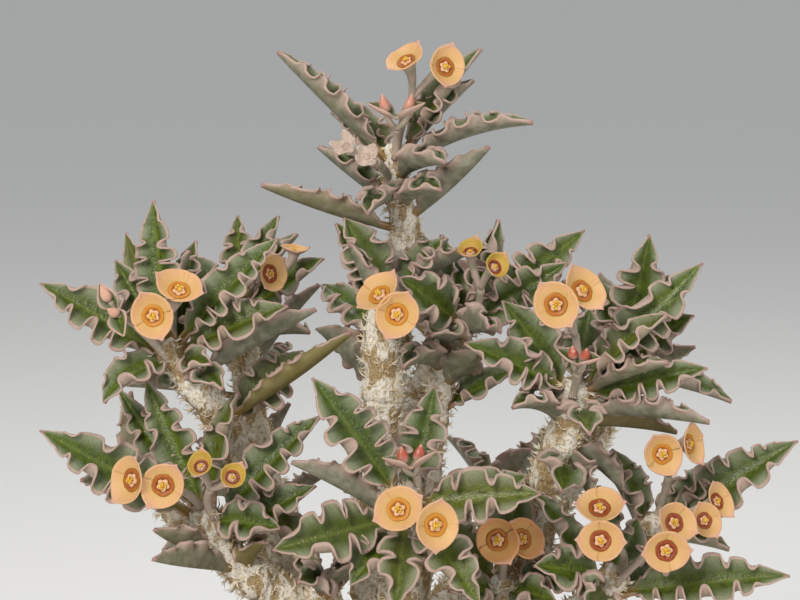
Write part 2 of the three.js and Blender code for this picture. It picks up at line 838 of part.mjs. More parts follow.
class Bloom {
  constructor(bloom) {
    const limb = limbs.get(bloom.shoot);
    this.name = bloom.name;
    this.shoot = bloom.shoot;
    this.cups = bloom.cups.map(([a, u, t, fa, fu, ft, turn, radius]) => ({
      centre: seen(a, u, t),
      face: facing(fa, fu, ft),
      turn: turn * DEGREE,
      radius,
    }));
    const middle = this.back(this.cups[0]).add(this.back(this.cups[1])).multiplyScalar(0.5);
    const foot = limb.at(bloom.below);
    const out = across(middle.clone().sub(foot), limb.axis).normalize();
    if (bloom.below > 0) foot.addScaledVector(out, limb.radiusAt(bloom.below) * STALK.offAxis);
    const rise = foot.distanceTo(middle) * STALK.forkRise;
    const fork = foot.clone().lerp(middle, STALK.forkShare).addScaledVector(limb.axis, rise);
    this.stalks = [bend(foot, foot.clone().addScaledVector(limb.axis, STALK.straight), fork)];
    for (const cup of this.cups) {
      const back = this.back(cup);
      const reach = fork.distanceTo(back);
      this.stalks.push(bend(fork, back.clone().addScaledVector(cup.face, -reach * STALK.armBend), back));
    }
  }
  // Where the arm meets the cup's funnel
  back(cup) {
    return cup.centre.clone().addScaledVector(cup.face, -cup.radius * CUP.back);
  }
  addObstacles() {
    for (const stalk of this.stalks) {
      for (let i = 0; i + 1 < stalk.length; i++) {
        for (const share of [0, 0.33, 0.67]) {
          addObstacle(stalk[i].clone().lerp(stalk[i + 1], share), STALK.radius, this.name, "bloom");
        }
      }
    }
    for (const cup of this.cups) {
      const first = anyNormal(cup.face);
      const second = cup.face.clone().cross(first);
      for (const share of CLEAR.cupShares) {
        for (const point of circle(cup.centre, first, second, cup.radius * share, CLEAR.cupSides)) {
          addObstacle(point, CLEAR.cupRadius, this.name, "bloom");
        }
      }
      const funnel = cup.centre.clone().addScaledVector(cup.face, -cup.radius * CUP.depth);
      addObstacle(funnel, cup.radius * CUP.boss, this.name, "bloom");
    }
  }
  // A bent stalk that widens into a shallow cup of two bracts, whose tips lie opposite, round a low boss
  head(cup, stalk, radii) {
    const { radius, face } = cup;
    const closed = radius < CUP.smallest;
    const directions = directionsAlong(stalk);
    directions[stalk.length - 1] = face;
    const first = turned(levelOn(face), face, cup.turn);
    const second = face.clone().cross(first);
    const rings = [];
    let sideways = first;
    for (let i = stalk.length - 1; i >= 0; i--) {
      sideways = across(sideways, directions[i]).normalize();
      const upward = directions[i].clone().cross(sideways);
      rings.unshift(radii[i] ? circle(stalk[i], sideways, upward, radii[i], CUP.sides) : [stalk[i]]);
    }
    const tips = (k) => {
      const angle = (2 * Math.PI * k) / CUP.sides;
      return 1 + CUP.tipRise * Math.cos(angle) ** 4 - CUP.notch * Math.sin(angle) ** 6;
    };
    const ring = (share, rise) =>
      circle(cup.centre.clone().addScaledVector(face, rise), first, second, radius * share, CUP.sides, tips);
    const centre = (rise) => [cup.centre.clone().addScaledVector(face, rise)];
    if (closed) return loft([...rings, ring(CUP.budBelly, 0), centre(radius * CUP.budTip)]);
    const floor = 2 * CUP.wall - radius * CUP.depth;
    return loft([...rings, ring(1, radius * CUP.lip), ring(CUP.boss, floor), centre(floor + CUP.wall)]);
  }
  solid(shootCore) {
    const [main, ...arms] = this.stalks;
    const heads = this.cups.map((cup, i) => {
      const shared = i === 0 ? main.slice(0, -1) : [];
      const armRadii = arms[i].map((point, k) => (i > 0 && k === 0 ? 0 : STALK.armRadius));
      return this.head(cup, [...shared, ...arms[i]], [...shared.map(() => STALK.radius), ...armRadii]);
    });
    return mainBody(wasm.Manifold.union(heads).subtract(shootCore));
  }
}

// The direction in a cup's plane that runs level across the picture, from which its turn counts
function levelOn(face) {
  const level = across(new Vector3(1, 0, 0), face);
  return level.lengthSq() > 1e-6 ? level.normalize() : anyNormal(face);
}

const blooms = BLOOMS.map((bloom) => new Bloom(bloom));
for (const bloom of blooms) bloom.addObstacles();

// Leaves: a bent midrib with two folded, waved halves
class Leaf {
  constructor({ base, direction, length, normal, halfWidth, bendAngle, fold, flip }) {
    Object.assign(this, { base, direction, length, normal, halfWidth, bendAngle, fold, flip });
    if (Math.abs(this.bendAngle) < 0.03) this.bendAngle = 0.03;
    this.side = direction.clone().cross(normal);
  }
  // Share of the half width at this share of the blade
  shape(blade) {
    const peak = LEAF.riseShare / (LEAF.riseShare + LEAF.fallShare);
    return (blade / peak) ** LEAF.riseShare * ((1 - blade) / (1 - peak)) ** LEAF.fallShare;
  }
  halfWaves() {
    const count = Math.round(this.length / LEAF.halfWave);
    return Math.min(Math.max(count, LEAF.fewestHalfWaves), LEAF.mostHalfWaves);
  }
  blade(along) {
    return Math.min(Math.max((along - LEAF.petiole) / (1 - LEAF.petiole), 0), 1);
  }
  half(along) {
    const blade = this.blade(along);
    return LEAF.petioleHalf * (1 - along) + this.halfWidth * this.shape(blade);
  }
  // Midrib point and the local up direction at a share of the length
  spine(along) {
    const radius = this.length / (2 * Math.sin(this.bendAngle / 2));
    const angle = this.bendAngle * (along - 0.5);
    const forward = radius * (Math.sin(angle) + Math.sin(this.bendAngle / 2));
    const upward = radius * (Math.cos(angle) - Math.cos(this.bendAngle / 2));
    const { direction, normal } = this;
    return {
      point: this.base.clone().addScaledVector(direction, forward).addScaledVector(normal, upward),
      up: direction.clone().multiplyScalar(Math.sin(angle)).addScaledVector(normal, Math.cos(angle)),
    };
  }
  // A point of the leaf: across runs from -1 at the left margin to 1 at the right one
  point(along, acrossShare, waved = true) {
    const { point, up } = this.spine(along);
    const sign = Math.sign(acrossShare);
    const reach = Math.abs(acrossShare) * this.half(along);
    const blade = this.blade(along);
    const phase = Math.PI * this.halfWaves() * blade - Math.PI / 4 + (sign * this.flip > 0 ? Math.PI : 0);
    const swell = waved ? this.halfWidth * acrossShare ** 2 * Math.sqrt(Math.sin(Math.PI * blade)) : 0;
    const outward = reach + LEAF.lobe * swell * Math.sin(phase);
    const lift = LEAF.curl * swell * Math.cos(phase);
    const [sin, cos] = [Math.sin(this.fold), Math.cos(this.fold)];
    return point
      .addScaledVector(this.side, sign * (outward * cos - lift * sin))
      .addScaledVector(up, outward * sin + lift * cos);
  }
  samples() {
    const points = [];
    for (let i = 0; i < CLEAR.rows; i++) {
      for (let k = 0; k < CLEAR.columns; k++) {
        const along = (i + 1) / CLEAR.rows;
        const acrossShare = (2 * k) / (CLEAR.columns - 1) - 1;
        const radius = Math.min(CLEAR.bladeRadius, CLEAR.footRadius + CLEAR.widening * along);
        points.push({ along, radius, point: this.point(along, acrossShare, false) });
      }
    }
    return points;
  }
  addObstacles(owner) {
    for (const { along, radius, point } of this.samples()) {
      addObstacle(point, radius, owner, along < CLEAR.nearBase ? "foot" : "leaf");
    }
  }
  // How many of the leaf's samples lie too near another piece: hard ones aren't allowed
  conflicts(owner, stemRadius) {
    let hard = 0;
    let soft = 0;
    for (const { along, radius, point } of this.samples()) {
      if (point.z < CLEAR.lowest) hard++;
      for (const other of obstacles) {
        const reach = radius + other.radius + CLEAR.gap;
        const dx = point.x - other.x;
        if (dx > reach || dx < -reach) continue;
        const dy = point.y - other.y;
        const dz = point.z - other.z;
        const distance = dx * dx + dy * dy + dz * dz;
        if (distance >= reach * reach) continue;
        if (other.owner !== owner) hard++;
        else if (other.kind === "stem") {
          const away = Math.hypot(this.base.x - other.x, this.base.y - other.y, this.base.z - other.z);
          if (away > stemRadius + CLEAR.ownStem || along > CLEAR.ownStemShare) hard++;
        } else if (along > CLEAR.nearBase && other.kind === "leaf") {
          if (distance < CLEAR.crossing * reach * reach) soft++;
        }
      }
    }
    return { hard, soft };
  }
  turnedBy(pitch, swing, lengthShare) {
    const direction = turned(turned(this.direction, this.side, pitch), this.normal, swing);
    const normal = across(turned(this.normal, this.side, pitch), direction).normalize();
    return new Leaf({ ...this, direction, normal, length: this.length * lengthShare });
  }
  // The leaf as a solid whose margins are sharp, whose midrib is keeled and whose foot ends in the stem
  solid() {
    const count = this.halfWaves();
    const alongs = [];
    for (let j = 0; j < count; j++) alongs.push(LEAF.petiole + ((1 - LEAF.petiole) * (j + 0.5)) / count);
    const rings = alongs.map((along) => {
      const { point, up } = this.spine(along);
      return [
        this.point(along, -1),
        point.clone().addScaledVector(up, LEAF.topRise),
        this.point(along, 1),
        point.clone().addScaledVector(up, -LEAF.keel),
      ];
    });
    const root = this.base.clone().addScaledVector(this.direction, -LEAF.rootDepth);
    return loft([[root], ...rings, [this.point(1, 0)]], [false, true, false, true]);
  }
}

// A leaf that keeps clear of everything: the first of the tries that hits nothing, or the one with the
// fewest near misses among the leaves of its own shoot. It is turned, and at last shortened, to clear.
function laidClear(tries, owner, stemRadius) {
  let best = null;
  const settled = (leaf) => {
    const { hard, soft } = leaf.conflicts(owner, stemRadius);
    if (hard === 0 && (!best || soft < best.soft)) best = { leaf, soft };
    return best && best.soft <= CLEAR.fewSoft;
  };
  if (tries.some(settled)) return best.leaf;
  for (const lengthShare of CLEAR.lengths) {
    for (const step of CLEAR.turns) {
      for (let k = 0; k < CLEAR.directions; k++) {
        const angle = (2 * Math.PI * k) / CLEAR.directions;
        const [pitch, swing] = [step * DEGREE * Math.sin(angle), step * DEGREE * Math.cos(angle)];
        if (settled(tries[0].turnedBy(pitch, swing, lengthShare))) return best.leaf;
      }
      if (best) return best.leaf;
    }
  }
  return null;
}

// A leaf whose tip was measured, with its tip moved toward or away from the viewer by a shift
function handLeaf(limb, row, shift, flip) {
  const [a, u, t, below, halfWidth, bendDegrees, foldDegrees, face] = row;
  const tip = seen(a, u, t + shift);
  const stem = limb.at(below);
  const axis = limb.directionAt(below);
  const out = across(tip.clone().sub(stem), axis).normalize();
  const base = stem.addScaledVector(out, limb.radiusAt(below) * LEAF.sunk);
  const chord = tip.sub(base);
  const direction = chord.clone().normalize();
  const normal = across(axis, direction).normalize().addScaledVector(TOWARD_VIEWER, face);
  return new Leaf({
    base,
    direction,
    length: chord.length(),
    normal: across(normal, direction).normalize(),
    halfWidth,
    bendAngle: bendDegrees * DEGREE,
    fold: foldDegrees * DEGREE,
    flip,
  });
}

// A leaf by rule: each stands a golden angle on from the last, and lower ones spread wider

function ruleLeaf(limb, index, draw) {
  const { leafy, more, leaves } = limb.shoot;
  const below = RULE.first + (index * (leafy - RULE.bareEnd)) / more;
  const axis = limb.directionAt(below);
  const first = anyNormal(axis);
  const second = axis.clone().cross(first);
  const angle = index * GOLDEN_ANGLE + draw.between(-RULE.jitter, RULE.jitter);
  const out = first.multiplyScalar(Math.cos(angle)).addScaledVector(second, Math.sin(angle));
  const toward = out.dot(TOWARD_VIEWER);
  if (leaves.length > 0 && toward > RULE.hiddenFrom) {
    out.addScaledVector(TOWARD_VIEWER, -2 * toward - RULE.pushBack);
    out.copy(across(out, axis)).normalize();
  }
  const [narrow, wider] = RULE.spread;
  const jitter = draw.between(-RULE.spreadJitter, RULE.spreadJitter);
  const spread = (narrow + (wider * index) / more + jitter) * DEGREE;
  const direction = axis.clone().multiplyScalar(Math.cos(spread)).addScaledVector(out, Math.sin(spread));
  direction.normalize();
  return new Leaf({
    base: limb.at(below).addScaledVector(out, limb.radiusAt(below) * LEAF.sunk),
    direction,
    length: draw.between(...RULE.length),
    normal: across(axis, direction).normalize(),
    halfWidth: draw.between(...RULE.halfWidth),
    bendAngle: draw.between(...RULE.bend) * DEGREE,
    fold: draw.between(...RULE.fold) * DEGREE,
    flip: draw.between(-1, 1) > 0 ? 1 : -1,
  });
}

const leavesOf = new Map(SHOOTS.map(({ name }) => [name, []]));

function grow(limb, tries) {
  const { name } = limb.shoot;
  const leaf = laidClear(tries, name, limb.shoot.radii[1]);
  if (!leaf) return;
  leaf.addObstacles(name);
  leavesOf.get(name).push(leaf);
}

for (const limb of limbs.values()) {
  const draw = new Draw(SEED + 7 * limb.shoot.way.length + limb.shoot.name.length);
  for (const row of limb.shoot.leaves) {
    const flip = draw.between(-1, 1) > 0 ? 1 : -1;
    grow(limb, CLEAR.shifts.map((shift) => handLeaf(limb, row, shift, flip)));
  }
}
for (const limb of limbs.values()) {
  const { shoot } = limb;
  const draw = new Draw(SEED + 31 * shoot.way.length + shoot.name.length);
  for (let i = 0; i < shoot.more; i++) grow(limb, [ruleLeaf(limb, i, draw)]);
}

// Woody parts: the tuber, which stands in the soil, with the limbs that fork from it
function tuber(clearance) {
  const rings = TUBER.rings.map(([height, radius, shift], i) =>
    circle(
      new Vector3(shift, 0, height - (i === 0 ? clearance : 0)),
      new Vector3(1, 0, 0),
      new Vector3(0, 1, 0),
      radius + clearance,
      TUBER.sides,
      (k) => 1 + TUBER.ripple * Math.sin(3 * k + i),
    ),
  );
  return loft(rings);
}

// Spiky stipules stand off a woody limb in a spiral
function stipules(limb) {
  const draw = new Draw(SEED + 3 * limb.shoot.way.length);
  const spikes = [];
  let angle = 0;
  const last = limb.total - STIPULE.fromFork;
  for (let below = limb.shoot.leafy + STIPULE.fromLeaves; below < last; below += STIPULE.pace) {
    angle += GOLDEN_ANGLE;
    const axis = limb.directionAt(below);
    const out = turned(anyNormal(axis), axis, angle);
    const radius = limb.radiusAt(below);
    const foot = limb.at(below).addScaledVector(out, radius * STIPULE.root);
    const direction = out.addScaledVector(axis, draw.between(...STIPULE.lean)).normalize();
    const first = anyNormal(direction);
    const ring = circle(foot, first, direction.clone().cross(first), STIPULE.width, 3);
    const length = STIPULE.length + radius * STIPULE.lengthShare;
    spikes.push(loft([ring, [foot.clone().addScaledVector(direction, length)]]));
  }
  return spikes;
}

function wood() {
  const parts = [tuber(0)];
  for (const limb of limbs.values()) {
    parts.push(limb.stretch(limb.total, limb.shoot.leafy + GAP), ...stipules(limb));
  }
  return mainBody(wasm.Manifold.union(parts));
}

function leafyShoot(limb) {
  const core = limb.stretch(limb.shoot.leafy, 0, { domed: true });
  const leaves = leavesOf.get(limb.shoot.name).map((leaf) => leaf.solid());
  return mainBody(wasm.Manifold.union([core, ...leaves]));
}

function clearedCore(limb) {
  return limb.stretch(limb.shoot.leafy + 1, -GAP, { clearance: GAP, domed: true });
}

// Pot and soil
function potInside(height) {
  const share = (height - POT.floor) / (POT.height - POT.floor);
  return POT.insideFoot + (POT.rimRadius - POT.wall - POT.insideFoot) * share;
}

function pot() {
  const band = POT.height - POT.bandHeight;
  const profile = [
    [0, 0],
    [POT.footRadius, 0],
    [POT.bodyRadius, band],
    [POT.bandRadius, band + POT.bandStep],
    [POT.rimRadius, POT.height - POT.rimBevel],
    [POT.rimRadius - POT.rimBevel, POT.height],
    [potInside(POT.height), POT.height],
    [potInside(POT.floor), POT.floor],
    [0, POT.floor],
  ].map(([radius, height]) => new THREE.Vector2(radius, height));
  const shell = new THREE.LatheGeometry(profile, POT.sides).rotateX(Math.PI / 2);
  const drains = Array.from({ length: POT.drains }, (_, i) => {
    const angle = (2 * Math.PI * (i + 0.25)) / POT.drains;
    const centre = new Vector3(POT.drainRing * Math.cos(angle), POT.drainRing * Math.sin(angle), 0);
    const ring = (height) =>
      circle(centre.clone().setZ(height), new Vector3(1, 0, 0), new Vector3(0, 1, 0), POT.drainRadius, 8);
    return loft([ring(-1), ring(POT.floor + 1)]);
  });
  return solidOfGeometry(shell).subtract(wasm.Manifold.union(drains));
}

// The soil fills the pot to below the rim, with an uneven top
function soilTop(radius, angle) {
  const humps = Math.sin(3 * angle + SOIL.twist * radius) + Math.sin(5 * angle - SOIL.twist * radius);
  return SOIL.top + (SOIL.bump * humps) / 2;
}

function soil() {
  const wall = (height) => potInside(height) - GAP;
  const ring = (radius, height) =>
    Array.from({ length: POT.sides }, (_, k) => {
      const angle = (2 * Math.PI * k) / POT.sides;
      return new Vector3(radius * Math.cos(angle), radius * Math.sin(angle), height(angle));
    });
  const bottom = POT.floor + GAP;
  const edge = SOIL.top - SOIL.shoulder;
  const rings = [ring(wall(bottom), () => bottom), ring(wall(edge), () => edge)];
  for (let i = SOIL.rows; i > 0; i--) {
    const radius = ((wall(SOIL.top) - SOIL.shoulder) * i) / SOIL.rows;
    rings.push(ring(radius, (angle) => soilTop(radius, angle)));
  }
  rings.push([new Vector3(0, 0, soilTop(0, 0))]);
  return mainBody(loft(rings).subtract(tuber(GAP)));
}

// Nodes
const COLOURS = {
  terracotta: 0xb5694a,
  soil: 0x5c4c3e,
  bark: 0xc9c1b2,
  leaf: 0x4f8a4a,
  bract: 0xe3a083,
};

const group = new THREE.Group();

function addNode(name, solid, color, roughness) {
  const { vertProperties, triVerts } = solid.getMesh();
  const geometry = new THREE.BufferGeometry();
  geometry.setAttribute("position", new THREE.BufferAttribute(vertProperties, 3));
  geometry.setIndex(new THREE.BufferAttribute(triVerts, 1));
  geometry.computeVertexNormals();
  const mesh = new THREE.Mesh(geometry, new THREE.MeshStandardMaterial({ color, roughness, metalness: 0 }));
  mesh.name = name;
  group.add(mesh);
}

addNode("pot", pot(), COLOURS.terracotta, 0.85);
addNode("soil", soil(), COLOURS.soil, 0.95);
addNode("tuber_and_limbs", wood(), COLOURS.bark, 0.9);
for (const limb of limbs.values()) {
  addNode(`leafy_shoot_${limb.shoot.name}`, leafyShoot(limb), COLOURS.leaf, 0.5);
}
for (const bloom of blooms) {
  addNode(`bloom_${bloom.name}`, bloom.solid(clearedCore(limbs.get(bloom.shoot))), COLOURS.bract, 0.6);
}

export default group;
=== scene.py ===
"""Potted dwarf spurge: crisped leaves, shaggy bark, stalked bract cups, clay pot and grit."""
import logging
import math
from dataclasses import dataclass, field, replace
from enum import Enum
from typing import Optional, Sequence

import bpy
import numpy as np
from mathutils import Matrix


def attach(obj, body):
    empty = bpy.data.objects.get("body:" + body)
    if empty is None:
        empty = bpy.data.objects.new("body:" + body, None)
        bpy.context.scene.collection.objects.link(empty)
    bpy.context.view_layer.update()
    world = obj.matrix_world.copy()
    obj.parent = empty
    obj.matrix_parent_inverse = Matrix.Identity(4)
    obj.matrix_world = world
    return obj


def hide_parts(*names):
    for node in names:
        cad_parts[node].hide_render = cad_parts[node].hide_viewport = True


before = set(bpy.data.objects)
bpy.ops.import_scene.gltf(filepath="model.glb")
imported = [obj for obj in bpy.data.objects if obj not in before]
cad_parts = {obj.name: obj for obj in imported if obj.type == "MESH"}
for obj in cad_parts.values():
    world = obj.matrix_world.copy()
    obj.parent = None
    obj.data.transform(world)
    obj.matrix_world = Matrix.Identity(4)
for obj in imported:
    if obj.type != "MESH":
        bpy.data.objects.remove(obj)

Vec = np.ndarray
Place = tuple[float, float, float]
Object = bpy.types.Object
Material = bpy.types.Material
Socket = bpy.types.NodeSocket

log = logging.getLogger("spurge")

MM = 0.001
DEGREE = math.pi / 180
TURN = 2 * math.pi
GOLDEN_ANGLE = 137.5 * DEGREE
SEED = 20261

# The crown was measured on the picture of its front, as the lens sees it (millimetres)
VIEW_HEIGHT = 155.0
VIEW_TILT = 8 * DEGREE
VIEW_DISTANCE = 500.0
TOWARD_VIEWER = np.array([0.0, -1.0, 0.0])
RIGHT = np.array([1.0, 0.0, 0.0])
AWAY = np.array([0.0, 1.0, 0.0])
UP = np.array([0.0, 0.0, 1.0])
LENS = 112.5


class Stage(Enum):
    """How far a bloom has come."""

    OPEN = "open"
    YOUNG = "young"
    BUD = "bud"
    DRY = "dry"


@dataclass(frozen=True)
class ShootPlan:
    """A limb with its leafy end, in millimetres across, up and toward the viewer.

    The way runs from the root to the tip. A leaf has its tip, the distance of its foot below the
    shoot's tip, half width, bend and fold in degrees, and how far its face turns to the viewer.
    """

    name: str
    radii: tuple[float, float]
    leafy: float
    more: int
    way: tuple[Place, ...]
    leaves: tuple[tuple[float, ...], ...] = ()


@dataclass(frozen=True)
class BloomPlan:
    """A forked stalk with two cups or buds.

    Cups have their centre, the way they face, the turn of their tips in degrees and their radius.
    Blush runs from golden glands at 0 to red-brown ones at 1.
    """

    name: str
    shoot: str
    below: float
    stage: Stage
    ripe: float
    blush: float
    cups: tuple[tuple[float, ...], ...]

    def ring(self, share: float) -> float:
        """Return the ring's reach as a share of the cup's, which is larger in young cups."""
        return share * (1.28 if self.stage is Stage.YOUNG else 1.0)


